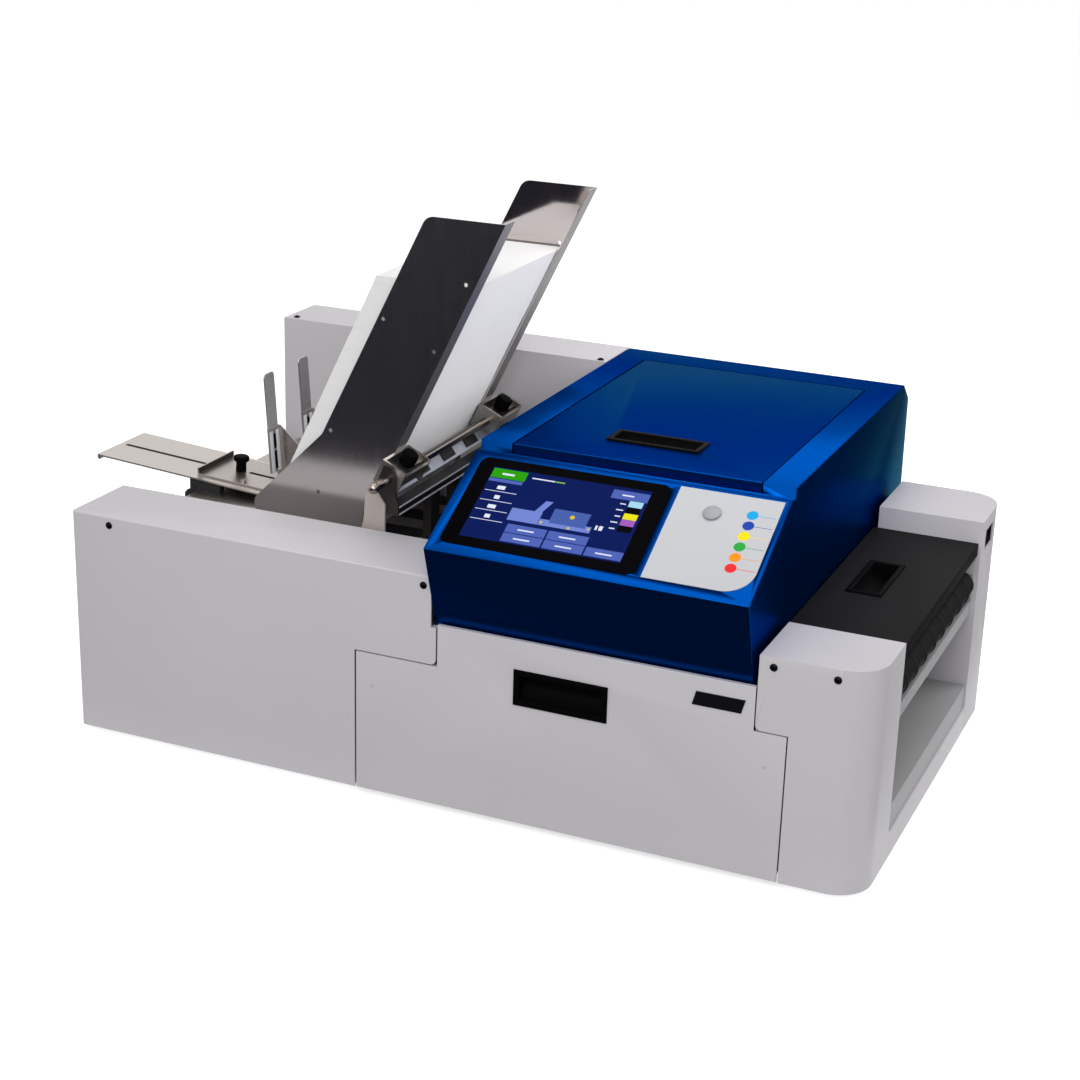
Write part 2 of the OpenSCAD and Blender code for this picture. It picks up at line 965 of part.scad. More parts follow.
module head_lid() {
    color("mediumblue")
        place()
            difference() {
                union() {
                    box([lid_x0, lid_y0, head_h - lid_t], [lid_x1, lid_back, head_h]);
                    box([lid_x0, lid_y0, ledge[1] + 0.8], [lid_x1, lid_y0 + lid_t, head_h - lid_t + 1]);
                    lid_ear(lid_x0);
                    lid_ear(lid_x1 - ear_t);
                }
                at_lid_grip()
                    grip_hole();
            }
}

module lid_grip() {
    color("black")
        place()
            at_lid_grip()
                grip_cup();
}

// Pins of the lid, the door and the exit cover, fixed in their lugs
module hinge_pins() {
    lid_reach = ear_t + panel_gap;
    door_reach = 2 * ear_t + move_gap;
    exit_in = pillar_d - sheet;
    color("silver")
        place() {
            rod_x(lid_x0 - lid_reach, lid_x0 + ear_t, lid_axis[0], lid_axis[1], lid_pin_d);
            rod_x(lid_x1 - ear_t, lid_x1 + lid_reach, lid_axis[0], lid_axis[1], lid_pin_d);
            for (x = door_ears)
                rod_x(x, x + door_reach, door_hinge_in, door_hinge_in, pin_d);
            rod_y(exit_in - 2, pillar_d + 2 + ear_t, exit_axis[0], exit_axis[1], pin_d);
            rod_y(
                rear_pillar_y0 - 2 - ear_t,
                rear_pillar_y0 + sheet + 2,
                exit_axis[0],
                exit_axis[1],
                pin_d
            );
        }
}

// Front door

door_neck = [head_x0 + tab_w + panel_gap, pillar_x0 - panel_gap];

module door_ear(x) {
    a = door_hinge_in;
    difference() {
        union() {
            rod_x(x, x + ear_t, a, a, ear_d + 1);
            box([x, sheet - 0.5, a - ear_d / 2], [x + ear_t, a, a + ear_d / 2]);
        }
        rod_x(x - 1, x + ear_t + 1, a, a, pin_d + 2 * run_fit);
    }
}

module front_door() {
    shoulder = door_shoulder - panel_gap;
    color("gainsboro")
        place()
            difference() {
                union() {
                    plate_xz(
                        [
                            [door_x0, 0],
                            [door_x1, 0],
                            [door_x1, shoulder],
                            [door_neck[1], shoulder],
                            [door_neck[1], door_h],
                            [door_neck[0], door_h],
                            [door_neck[0], shoulder],
                            [door_x0, shoulder]
                        ],
                        0,
                        sheet
                    );
                    box([door_neck[0], 0, door_h - sheet], [door_neck[1], 5, door_h]);
                    box([door_x0, 0, shoulder - sheet], [door_neck[0], 8, shoulder]);
                    box([pillar_x0 + sheet + 1, 0, shoulder - sheet], [door_x1, 8, shoulder]);
                    for (x = door_ears)
                        door_ear(x + ear_t + move_gap);
                }
                at_door_grip()
                    grip_hole();
            }
}

module door_grip() {
    color("black")
        place()
            at_door_grip()
                grip_cup();
}

module door_badge() {
    x0 = door_x1 - 100;
    z0 = door_h - 31;
    color("#26262a")
        place()
            plate_xz([[x0, z0], [x0 + 52, z0], [x0 + 56, z0 + 15], [x0 + 4, z0 + 15]], -1, 1);
}

// Exit

module exit_ear(y) {
    difference() {
        union() {
            rod_y(y, y + ear_t, exit_axis[0], exit_axis[1], ear_d);
            box(
                [exit_axis[0] - ear_d / 2, y, exit_axis[1]],
                [exit_axis[0] + ear_d / 2, y + ear_t, exit_h - 1]
            );
        }
        rod_y(y - 1, y + ear_t + 1, exit_axis[0], exit_axis[1], pin_d + 2 * run_fit);
    }
}

module exit_cover() {
    y0 = exit_y[0] + 1.5;
    y1 = exit_y[1] - 1.5;
    color("#33363a")
        place()
            difference() {
                union() {
                    box([exit_x0, y0, exit_h - sheet], [exit_x1, y1, exit_h]);
                    box([exit_x1 - sheet, y0, exit_h - sheet - exit_lip], [exit_x1, y1, exit_h]);
                    exit_ear(y0);
                    exit_ear(y1 - ear_t);
                }
                at_exit_grip()
                    grip_hole();
            }
}

module exit_grip() {
    color("black")
        place()
            at_exit_grip()
                grip_cup();
}

module exit_frame() {
    x0 = exit_roller_x[0] - 18;
    x1 = exit_roller_x[1] + 13;
    z0 = exit_roller_z - 36;
    color("lightgray")
        place()
            difference() {
                union() {
                    box([x0, exit_y[0], z0], [x1, exit_y[0] + exit_plate_t, exit_roller_z + 12]);
                    box([x0, exit_y[1] - exit_plate_t, z0], [x1, exit_y[1], exit_roller_z + 12]);
                    box([x1 - 3, exit_y[0], z0], [x1, exit_y[1], z0 + 16]);
                }
                for (x = exit_roller_x)
                    rod_y(
                        exit_y[0] + 0.5,
                        exit_y[1] - 0.5,
                        x,
                        exit_roller_z,
                        exit_axle_d + 2 * run_fit
                    );
            }
}

// Middle of each round belt along Y
function belt_y(i) = path_y + (i - (exit_belts_n - 1) / 2) * exit_pitch;
exit_pitch = 320 / exit_belts_n;
groove_w = exit_belt_d + 2 * move_gap;

// Grooved roller on its axle, for the round belts
module grooved_roller(x) {
    y0 = path_y - exit_len / 2;
    y1 = path_y + exit_len / 2;
    difference() {
        union() {
            rod_y(y0, y1, x, exit_roller_z, exit_roller_d);
            rod_y(exit_y[0] + 0.8, exit_y[1] - 0.8, x, exit_roller_z, exit_axle_d);
        }
        for (i = [0 : exit_belts_n - 1])
            difference() {
                rod_y(
                    belt_y(i) - groove_w / 2,
                    belt_y(i) + groove_w / 2,
                    x,
                    exit_roller_z,
                    exit_roller_d + 2
                );
                rod_y(
                    belt_y(i) - groove_w,
                    belt_y(i) + groove_w,
                    x,
                    exit_roller_z,
                    2 * exit_groove_r
                );
            }
    }
}

module exit_roller() {
    color("#3a3a3a")
        place()
            grooved_roller(exit_roller_x[1]);
}

module exit_drive_roller() {
    color("#3a3a3a")
        place()
            grooved_roller(exit_roller_x[0]);
}

// Half of a round belt's loop where it goes round a roller
module belt_bend(x, turn) {
    translate([x, 0, exit_roller_z])
        rotate([90, 0, 0])
            rotate([0, 0, turn])
                rotate_extrude(angle = 180)
                    translate([exit_belt_r, 0])
                        circle(d = exit_belt_d, $fn = 24);
}

module exit_belts() {
    color("#151515")
        place()
            for (i = [0 : exit_belts_n - 1])
                translate([0, belt_y(i), 0]) {
                    belt_bend(exit_roller_x[0], 90);
                    belt_bend(exit_roller_x[1], -90);
                    for (z = [exit_roller_z - exit_belt_r, exit_roller_z + exit_belt_r])
                        rod_x(exit_roller_x[0], exit_roller_x[1], 0, z, exit_belt_d, $fn = 24);
                }
}

// Feeder

// Side plate of the feeder with a post beside the gate
function frame_outline() = [
    [60, pan_t],
    [cover_x1 - 1, pan_t],
    [cover_x1 - 1, deck_z],
    [table_x1 + 1, deck_z],
    [table_x1 + 1, table_z - table_t],
    [post_x[1], table_z - table_t],
    [post_x[1], post_h - 11],
    [post_x[1] - 8, post_h],
    [post_x[0] + 5, post_h],
    [post_x[0] + 3, post_h - 30],
    [post_x[0], post_h - 42],
    [post_x[0], table_z - table_t],
    [40, table_z - table_t],
    [40, 180],
    [60, 160]
];

module feeder_frames() {
    color("lightgray")
        place()
            difference() {
                for (y = frame_y)
                    plate_xz(frame_outline(), y, frame_t);
                for (x = feed_x)
                    rod_y(0, body_d, x, feed_z, shaft_d + 2 * run_fit);
            }
}

module feeder_table() {
    color("silver")
        place()
            difference() {
                box(
                    [table_x0, feed_cover_d + 2, table_z - table_t],
                    [table_x1, rear_cover_y0 - 3, table_z]
                );
                for (y = frame_y)
                    box(
                        [post_x[0] - seat, y - seat, table_z - table_t - 1],
                        [post_x[1] + seat, y + frame_t + seat, table_z + 1]
                    );
                for (y = feed_belt_y)
                    box(
                        [feed_x[0] - 14, y - feed_belt_w / 2 - 2, table_z - table_t - 1],
                        [feed_x[1] + 14, y + feed_belt_w / 2 + 2, table_z + 1]
                    );
            }
}

module feed_deck() {
    color("#1c1c1c")
        place()
            box(
                [table_x1 + 1, feed_cover_d + 2, deck_z],
                [cover_x1, rear_cover_y0 - 3, deck_z + 2]
            );
}

module feed_belts() {
    color("#2a2a2a")
        place()
            for (y = feed_belt_y)
                flat_belt(feed_x, feed_z, feed_r + move_gap, feed_belt_t, y - feed_belt_w / 2, feed_belt_w);
}

// Shaft in the feeder's side plates with one pulley for each belt
module feed_pulleys(x) {
    rod_y(frame_y[0] - 2, frame_y[1] + frame_t + 2, x, feed_z, shaft_d);
    for (y = feed_belt_y)
        rod_y(y - feed_belt_w / 2 - 1, y + feed_belt_w / 2 + 1, x, feed_z, 2 * feed_r);
}

module feed_roller() {
    color("dimgray")
        place()
            feed_pulleys(feed_x[1]);
}

module feed_idler() {
    color("dimgray")
        place()
            feed_pulleys(feed_x[0]);
}

// Frame on the gate strip: X down the strip, Z out of its upper face
gate_l = 22;
gate_t = 2.5;
gate_angle = 54;
pad_w = 30;
module on_gate() {
    translate([gate_at[0], 0, gate_at[1]])
        rotate([0, gate_angle, 0])
            children();
}

module gate_strip() {
    color("whitesmoke")
        place()
            on_gate()
                box([0, end_plate_y[0] + frame_t, 0], [gate_l, end_plate_y[1], gate_t]);
}

// Outline of an end plate between the rod and the beam
end_plate = [
    [beam_x[0], beam_z[0]],
    [beam_x[1], beam_z[0]],
    [beam_x[1], beam_z[1] + 4],
    [rod_at[0] + 9, rod_at[1] - 15],
    [rod_at[0] + 9, rod_at[1] + 2],
    [rod_at[0] + 4, rod_at[1] + 15],
    [rod_at[0] - 5, rod_at[1] + 16],
    [rod_at[0] - 12, rod_at[1] - 2],
    [rod_at[0] - 11, beam_z[1] + 3],
    [beam_x[0], beam_z[1] - 1]
];

// Black beam under the gate with an end plate at each side for the rod, one separator over
// each belt and three pads on the strip
module separator_beam() {
    color("#161616")
        place() {
            box(
                [beam_x[0], end_plate_y[0] + frame_t - 1, beam_z[0]],
                [beam_x[1], end_plate_y[1] + 1, beam_z[1]]
            );
            for (y = end_plate_y)
                difference() {
                    plate_xz(end_plate, y, frame_t);
                    rod_y(y - 1, y + frame_t + 1, rod_at[0], rod_at[1], rod_d);
                }
            for (y = feed_belt_y)
                box([beam_x[0] + 3, y - 11, table_z + 3], [beam_x[1] - 3, y + 11, beam_z[0] + 1]);
            on_gate()
                for (y = gate_pads)
                    box([7, y - pad_w / 2, gate_t], [19, y + pad_w / 2, gate_t + 2]);
        }
}

// Rod through both end plates with a ball on its front end
module guide_rod() {
    y0 = frame_y[0] - rod_out;
    color("silver")
        place() {
            rod_y(y0, end_plate_y[1] + frame_t + 6, rod_at[0], rod_at[1], rod_d);
            translate([rod_at[0], y0, rod_at[1]])
                sphere(d = rod_d + 3);
        }
}

// Rounds the corner b between a and c with radius r
function fillet(a, b, c, r) =
    let (
        u = (a - b) / norm(a - b),
        v = (c - b) / norm(c - b),
        half = acos(u * v) / 2,
        centre = b + (u + v) / norm(u + v) * r / sin(half),
        s = b + u * r / tan(half) - centre,
        e = b + v * r / tan(half) - centre,
        a0 = atan2(s[1], s[0]),
        turn = atan2(cross2(s, e), s * e)
    )
    [for (i = [0 : 6]) centre + r * [cos(a0 + turn * i / 6), sin(a0 + turn * i / 6)]];

// Outline with each corner rounded by its own radius, 0 leaving it sharp
function rounded(pts, r) = [
    for (i = [0 : len(pts) - 1])
        let (
            a = pts[(i + len(pts) - 1) % len(pts)],
            b = pts[i],
            c = pts[(i + 1) % len(pts)]
        )
        each (r[i] > 0 ? fillet(a, b, c, r[i]) : [b])
];

// Outline of a side guide in X and Z, anticlockwise from its lower right corner
guide_side = rounded(
    [
        [guide_foot[1], guide_foot_z],
        [guide_foot[1] + 6, guide_heel_z],
        [flange_foot, flange_z0],
        [guide_x1, guide_h],
        [guide_x1 - guide_top_w, guide_h],
        guide_bend,
        [guide_foot[0], guide_toe_z],
        [guide_foot[0] + 5, guide_foot_z]
    ],
    [8, 8, 0, 0, 14, 10, 14, 4]
);

module guide_sheet() {
    difference() {
        plate_xz(guide_side, guide_y[0], guide_t);
        for (p = guide_holes)
            rod_y(guide_y[0] - 1, guide_y[0] + guide_t + 1, flange_x(p[1]) - p[0], p[1], guide_hole_d);
    }
    plate_xz(
        [
            [flange_x(tab_z0) - flange_across, tab_z0],
            [flange_x(tab_z0), tab_z0],
            [guide_x1, guide_h],
            [guide_x1 - flange_across, guide_h]
        ],
        guide_y[0],
        flange_w
    );
}

module front_guide() {
    color("silver")
        place()
            guide_sheet();
}

module rear_guide() {
    color("silver")
        place()
            rear_hand()
                guide_sheet();
}

// Open box that holds a guide on the rod, with a bar for the clamping screw
module clamp_bracket() {
    y1 = clamp_y0 + clamp_len;
    back = -clamp_back;
    difference() {
        union() {
            at_rod() {
                for (y = [clamp_y0, y1 - clamp_t])
                    box([back, y, -clamp_half], [clamp_reach, y + clamp_t, clamp_half + 3]);
                box([back, clamp_y0, -clamp_half], [back + clamp_t, y1, clamp_half + 3]);
                box([clamp_reach - clamp_t, clamp_y0, -2], [clamp_reach, y1, clamp_half - 2]);
            }
            at_knob()
                box([-bar_w / 2, clamp_y0 + 1, bar_z[0]], [bar_w / 2, y1 - 1, bar_z[1]]);
        }
        rod_y(clamp_y0 - 1, y1 + 1, rod_at[0], rod_at[1], rod_d + 2 * run_fit);
        at_knob()
            rod_z(bar_z[0] - 1, bar_z[1] + 1, 0, knob_y, stem_d + 2 * run_fit);
    }
}

knob_y = clamp_y0 + clamp_len / 2;
bar_w = 14;
bar_z = [6, 10];
knob_z0 = bar_z[1] + 1.5;
knob_h = 15;

// Frame on the guide rod at a clamping screw: Z out along the screw
module at_knob() {
    translate([rod_at[0], 0, rod_at[1]])
        rotate([0, knob_lean, 0])
            children();
}

module clamp_knob() {
    at_knob() {
        rod_z(rod_d / 2 + move_gap, knob_z0 + 1, 0, knob_y, stem_d);
        rod_z(bar_z[1] + move_gap, knob_z0 + 1, 0, knob_y, knob_d - 6);
        rod_z(knob_z0, knob_z0 + knob_h, 0, knob_y, knob_d);
    }
}

module front_clamp() {
    color("lightgray")
        place()
            clamp_bracket();
}

module rear_clamp() {
    color("lightgray")
        place()
            rear_hand()
                clamp_bracket();
}

module front_clamp_knob() {
    color("#1a1a1a")
        place()
            clamp_knob();
}

module rear_clamp_knob() {
    color("#1a1a1a")
        place()
            rear_hand()
                clamp_knob();
}

// Leaning pile between the guides, clear of the belts and of the flanges
module envelope_stack() {
    z0 = belt_top + move_gap;
    right = -flange_across - move_gap / cos(guide_lean);
    color("floralwhite")
        place()
            plate_xz(
                [
                    [flange_x(z0) + right - envelope_l, z0],
                    [flange_x(z0) + right, z0],
                    [flange_x(stack_h) + right, stack_h],
                    [flange_x(stack_h) + right - envelope_l, stack_h]
                ],
                path_y - envelope_w / 2,
                envelope_w
            );
}

// Tray

module media_tray() {
    color("silver")
        place()
            on_tray()
                difference() {
                    union() {
                        box([0, tray_y0, -tray_t], [tray_l, tray_y0 + tray_w, 0]);
                        rod_y(tray_y0, tray_y0 + tray_w, hem / 2, -hem / 2, hem);
                    }
                    box(
                        [slot_x[0], path_y - slot_w / 2, -tray_t - 1],
                        [slot_x[1], path_y + slot_w / 2, 1]
                    );
                    rod_z(-tray_t - 1, 1, slot_x[1], path_y, slot_w);
                }
}

function tray_under(x) = tray_top(x) - tray_t / cos(tray_tilt);

module tray_bracket() {
    x = [10, table_x0 - 0.5, 52];
    roller_z = table_z - 9;
    color("#1a1a1a")
        place() {
            for (y = [tray_y0 + 5, tray_y0 + tray_w - 15])
                plate_xz(
                    [
                        [x[0], roller_z - 4],
                        [x[1], roller_z - 4],
                        [x[1], table_z],
                        [x[2], table_z],
                        [x[2], tray_under(x[2])],
                        [x[0], tray_under(x[0])]
                    ],
                    y,
                    10
                );
            rod_y(tray_y0 + 5, tray_y0 + tray_w - 5, x[0] + 1, roller_z, 18);
            on_tray()
                slot_channel();
        }
}

// Closed channel under the tray's slot, wide enough for the carriage screw's nut
module slot_channel() {
    low = [hem + seat, path_y - channel_w / 2, -channel_h];
    high = [slot_x[1] + 6, path_y + channel_w / 2, -tray_t];
    difference() {
        box(low, high);
        box(low + [channel_t, channel_t, channel_t], high - [channel_t, channel_t, -1]);
    }
}

// Gusset beside one finger, standing on the carriage
module gusset(y) {
    x = [finger_x - 2, tray_x1 - 12, finger_x + 28, finger_x + 36];
    plate_xz(
        [
            [x[0], carriage_top(x[0]) - 1],
            [x[1], carriage_top(x[1]) - 1],
            [x[2], finger_z[0] + 4],
            [x[3], finger_z[0] + 26],
            [finger_x + 2, finger_z[1]],
            [x[0], finger_z[1]]
        ],
        y,
        2
    );
}

module tray_carriage() {
    y0 = path_y - carriage_w / 2;
    color("silver")
        place() {
            on_tray()
                difference() {
                    union() {
                        box(
                            [carriage_x[0], y0, move_gap],
                            [carriage_x[1], y0 + carriage_w, move_gap + carriage_t]
                        );
                        box(
                            [carriage_x[0], y0, move_gap],
                            [carriage_x[0] + carriage_t, y0 + carriage_w, move_gap + 9]
                        );
                        box(
                            [carriage_x[1] - 20, y0, move_gap],
                            [carriage_x[1], finger_y[1] + finger_w / 2 + 4, move_gap + carriage_t]
                        );
                        rod_z(move_gap, move_gap + carriage_t + 3, carriage_x[0] + 60, y0 + 7, 7);
                    }
                    rod_z(-1, 9, carriage_knob_x, path_y, carriage_stem_d + 2 * run_fit);
                    box(
                        [carriage_knob_x + 12, path_y - slot_w / 2, -1],
                        [carriage_x[1] - 26, path_y + slot_w / 2, 9]
                    );
                }
            for (y = finger_y)
                gusset(y + finger_w / 2);
        }
}

// One finger across the path: slotted bar below, thin blade above
module finger(y) {
    bar_h = finger_z[1] - finger_z[0];
    blade_h = finger_z[2] - finger_z[0];
    half = finger_w / 2;
    translate([finger_x + 1, y, finger_z[0]])
        rotate([0, -finger_lean, 0]) {
            difference() {
                box([0, -half, 0], [3, half, bar_h]);
                box([-1, -3.5, 4], [4, 3.5, bar_h / 2 - 1.5]);
                box([-1, -3.5, bar_h / 2 + 1.5], [4, 3.5, bar_h - 8]);
            }
            plate_yz(
                rounded(
                    [[-half, bar_h - 4], [half, bar_h - 4], [half, blade_h], [-half, blade_h]],
                    [0, 0, 5, 5]
                ),
                0.5,
                1.5
            );
        }
}

module support_fingers() {
    color("silver")
        place()
            for (y = finger_y)
                finger(y);
}

module carriage_knob() {
    top = move_gap + carriage_t + move_gap;
    color("#1a1a1a")
        place()
            on_tray() {
                rod_z(-tray_t - move_gap - 4, top + 2, carriage_knob_x, path_y, carriage_stem_d);
                rod_z(top, top + 13, carriage_knob_x, path_y, 13);
                rod_z(top + 12, top + 19, carriage_knob_x, path_y, 19);
                rod_z(-tray_t - move_gap - 4, -tray_t - move_gap, carriage_knob_x, path_y, 12);
            }
}

// Print engine

module print_frame() {
    x0 = head_x0 + head_wall;
    x1 = head_x1 - head_wall;
    y0 = engine_y[0];
    y1 = engine_y[1] + frame_t;
    color("lightgray")
        place()
            difference() {
                union() {
                    for (y = engine_y)
                        box([x0, y, pan_t], [x1, y + frame_t, cradle_z]);
                    for (x = [head_mid - 82, head_mid + 70])
                        box([x, y0, cradle_z - 20], [x + 12, y1, cradle_z - 4]);
                    box([tank_x0 - 4, y0, cradle_z - 3], [tank_x0 + tank_n * tank_pitch, y1, cradle_z]);
                }
                for (x = transport_x)
                    rod_y(0, body_d, x, transport_z, shaft_d + 2 * run_fit);
            }
}

module printhead() {
    color("#303438")
        place()
            box(
                [head_mid - 70, path_y - 58, transport_z + 24],
                [head_mid + 70, path_y + 58, cradle_z - 4]
            );
}

module ink_tanks() {
    color("dimgray")
        place()
            for (i = [0 : tank_n - 1])
                box(
                    [tank_x0 + i * tank_pitch, path_y - 90, cradle_z],
                    [tank_x0 + i * tank_pitch + tank_w, path_y + 90, cradle_z + 45]
                );
}

module transport_belt() {
    color("#202020")
        place()
            flat_belt(
                transport_x,
                transport_z,
                transport_r + move_gap,
                transport_belt_t,
                path_y - transport_w / 2,
                transport_w
            );
}

// Shaft in the engine's side plates with one wide roller
module transport_shaft(x) {
    rod_y(engine_y[0] - 2, engine_y[1] + frame_t + 2, x, transport_z, shaft_d);
    rod_y(path_y - transport_w / 2 - 2, path_y + transport_w / 2 + 2, x, transport_z, 2 * transport_r);
}

module transport_roller() {
    color("dimgray")
        place()
            transport_shaft(transport_x[1]);
}

module transport_idler() {
    color("dimgray")
        place()
            transport_shaft(transport_x[0]);
}

module power_supply() {
    color("gray")
        place()
            box(
                [head_mid + supply_x[0], engine_y[1] + 20, pan_t],
                [head_mid + supply_x[1], body_d - 12, pan_t + supply_h]
            );
}

module main_board() {
    x0 = head_x0 + 20;
    y0 = 34;
    z0 = pan_t + 8;
    color("darkgreen")
        place() {
            for (x = [x0 + 6, x0 + 294], y = [y0 + 6, y0 + 84])
                rod_z(pan_t, z0, x, y, 7);
            box([x0, y0, z0], [x0 + 300, y0 + 90, z0 + 2]);
            for (i = [0 : 4])
                box([x0 + 20 + 56 * i, y0 + 25, z0 + 1], [x0 + 50 + 56 * i, y0 + 55, z0 + 10]);
        }
}

module power_inlet() {
    x = inlet_at[0];
    z = inlet_at[1];
    color("black")
        place() {
            difference() {
                union() {
                    box([x - 20, body_d, z - 14], [x + 20, body_d + 2, z + 14]);
                    box(
                        [x - 14 + seat, body_d - 20, z - 10 + seat],
                        [x + 14 - seat, body_d + 1, z + 10 - seat]
                    );
                }
                box([x - 11, body_d - 15, z - 7], [x + 11, body_d + 3, z + 7]);
            }
            for (p = [[-7, -2], [0, 2], [7, -2]])
                box([x + p[0] - 1, body_d - 16, z + p[1] - 2], [x + p[0] + 1, body_d - 3, z + p[1] + 2]);
            difference() {
                for (dx = [-switch_size[0] / 2 - 3.6, switch_size[0] / 2 + 0.6])
                    box(
                        [switch_at[0] + dx, body_d - 9, switch_at[1] - 8],
                        [switch_at[0] + dx + 3, body_d - sheet, switch_at[1] + 8]
                    );
                switch_pin(switch_pin_d + 2 * run_fit, 12);
            }
        }
}

module switch_pin(d, half) {
    rod_x(switch_at[0] - half, switch_at[0] + half, body_d - 4, switch_at[1], d);
}

switch_tilt = 8;

module power_switch() {
    w = switch_size[0];
    h = switch_size[2];
    color("#101010")
        place() {
            translate([switch_at[0], body_d - 4, switch_at[1]])
                rotate([switch_tilt, 0, 0])
                    box([-w / 2, -2, -h / 2], [w / 2, switch_size[1] - 2, h / 2]);
            switch_pin(switch_pin_d, w / 2 + 3);
        }
}

module drive_motor() {
    y0 = frame_y[1] + frame_t;
    color("#2b2b2b")
        place() {
            rod_y(y0, y0 + 30, (feed_x[0] + feed_x[1]) / 2, 120, 62);
            box(
                [(feed_x[0] + feed_x[1]) / 2 - 38, y0, 82],
                [(feed_x[0] + feed_x[1]) / 2 + 38, y0 + 4, 158]
            );
        }
}

base_pan();
rubber_feet();
front_left_cover();
front_right_cover();
rear_cover();
rear_right_cover();
rear_panel();
left_end_panel();
cover_screws();
end_sill();
bay_liner();
head_housing();
touchscreen_glass();
display_panel();
membrane_panel();
power_button();
head_lid();
lid_grip();
hinge_pins();
front_door();
door_grip();
door_badge();
exit_cover();
exit_grip();
exit_frame();
exit_roller();
exit_drive_roller();
exit_belts();
feeder_frames();
feeder_table();
feed_deck();
feed_belts();
feed_roller();
feed_idler();
gate_strip();
separator_beam();
guide_rod();
front_guide();
front_clamp();
front_clamp_knob();
rear_guide();
rear_clamp();
rear_clamp_knob();
media_tray();
tray_bracket();
tray_carriage();
support_fingers();
carriage_knob();
envelope_stack();
print_frame();
printhead();
ink_tanks();
transport_belt();
transport_roller();
transport_idler();
power_supply();
main_board();
power_inlet();
power_switch();
drive_motor();
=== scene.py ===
"""Looks of a desktop envelope printer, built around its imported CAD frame.

Every length is in millimetres in the machine's own frame, as in the part's source: X from the
left end of the body, Y from its front face, Z from the lower edge of its covers. at() and local()
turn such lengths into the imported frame's metres.
"""

import json
import logging
import math
import random
from dataclasses import dataclass
from enum import Enum
from typing import ClassVar, Sequence

import bmesh
import bpy
from mathutils import Matrix, Vector

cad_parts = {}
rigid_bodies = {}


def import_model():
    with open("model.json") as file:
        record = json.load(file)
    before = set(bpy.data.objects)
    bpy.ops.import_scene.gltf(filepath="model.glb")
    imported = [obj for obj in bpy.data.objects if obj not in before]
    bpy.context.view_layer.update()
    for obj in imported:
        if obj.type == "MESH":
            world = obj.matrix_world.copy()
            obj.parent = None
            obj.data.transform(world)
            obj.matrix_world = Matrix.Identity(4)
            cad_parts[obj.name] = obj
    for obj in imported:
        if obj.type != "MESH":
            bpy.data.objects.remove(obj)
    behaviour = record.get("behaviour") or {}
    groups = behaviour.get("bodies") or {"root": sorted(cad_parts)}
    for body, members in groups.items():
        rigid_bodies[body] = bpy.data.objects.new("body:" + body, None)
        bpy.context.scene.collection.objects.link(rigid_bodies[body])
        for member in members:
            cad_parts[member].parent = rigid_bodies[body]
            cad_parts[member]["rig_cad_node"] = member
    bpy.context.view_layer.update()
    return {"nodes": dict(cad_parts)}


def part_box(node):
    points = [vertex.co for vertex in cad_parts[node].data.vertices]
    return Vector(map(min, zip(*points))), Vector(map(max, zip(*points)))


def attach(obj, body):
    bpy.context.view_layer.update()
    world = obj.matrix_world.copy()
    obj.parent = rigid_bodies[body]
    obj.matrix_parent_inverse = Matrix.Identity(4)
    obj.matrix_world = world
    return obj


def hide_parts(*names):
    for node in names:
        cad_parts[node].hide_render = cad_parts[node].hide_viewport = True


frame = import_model()

LOG = logging.getLogger("envelope_printer")
MM = 0.001
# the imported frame's origin lies under the middle of the whole object, in the machine's frame
ORIGIN = Vector((405.0, 278.7, -8.0))
# in metres: CAD points closer than the first are one, and those nearer to a plane than the second lie in it
WELD = 1e-6
TOUCH = 2e-5
# CAD faces that meet below the first angle are one face, and above the second they form an edge
ONE_FACE = math.radians(0.4)
REAL_EDGE = math.radians(28)
# in millimetres: rounding of a moulded grip, and the length below which a cover's edges stay sharp
GRIP_EASE = 1.0
SHORT_EDGE = 3.0
# nearly all values of a noise texture lie between these
NOISE_LOW = 0.3
NOISE_HIGH = 0.7
# roughness that no surface falls below
SMOOTHEST = 0.02
WHITE = "#ffffff"

Point = tuple[float, float, float]
Spot = tuple[float, float]
Outline = Sequence[Spot]


def at(x: float, y: float, z: float) -> Vector:
    """A point of the machine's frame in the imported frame's metres."""
    return (Vector((x, y, z)) - ORIGIN) * MM


def local(origin: Point, axis: str = "X", degrees: float = 0.0) -> Matrix:
    """Frame at a point of the machine, turned about one of its axes.

    Args:
        origin: Where the frame stands.
        axis: The axis that it is turned about.
        degrees: How far it is turned.

    Returns:
        The matrix from that frame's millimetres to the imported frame's metres.
    """
    turn = Matrix.Rotation(math.radians(degrees), 4, axis)
    return Matrix.Translation(at(*origin)) @ turn @ Matrix.Scale(MM, 4)


MACHINE = local((0.0, 0.0, 0.0))


def linear(colour: str) -> tuple[float, float, float, float]:
    """Turns an sRGB hex colour into linear light.

    Args:
        colour: Six hex digits with a leading hash.

    Returns:
        Red, green, blue and an alpha of 1.
    """
    parts = [int(colour[i:i + 2], 16) / 255 for i in (1, 3, 5)]
    light = [c / 12.92 if c <= 0.04045 else ((c + 0.055) / 1.055) ** 2.4 for c in parts]
    return (light[0], light[1], light[2], 1.0)


def add_node(
    tree: bpy.types.NodeTree,
    kind: str,
    values: dict[str, object] | None = None,
    links: dict[str | int, bpy.types.NodeSocket] | None = None,
    **settings: object,
) -> bpy.types.Node:
    """Adds one shader node.

    Args:
        tree: The node tree that takes the node.
        kind: The node's type name.
        values: Numbers or colours for its input sockets, by socket name.
        links: Output sockets to join to its inputs, by socket name or number.
        **settings: The node's own properties.

    Returns:
        The new node.
    """
    node = tree.nodes.new(kind)
    for name, value in settings.items():
        setattr(node, name, value)
    for name, value in (values or {}).items():
        node.inputs[name].default_value = value
    for name, socket in (links or {}).items():
        tree.links.new(socket, node.inputs[name])
    return node


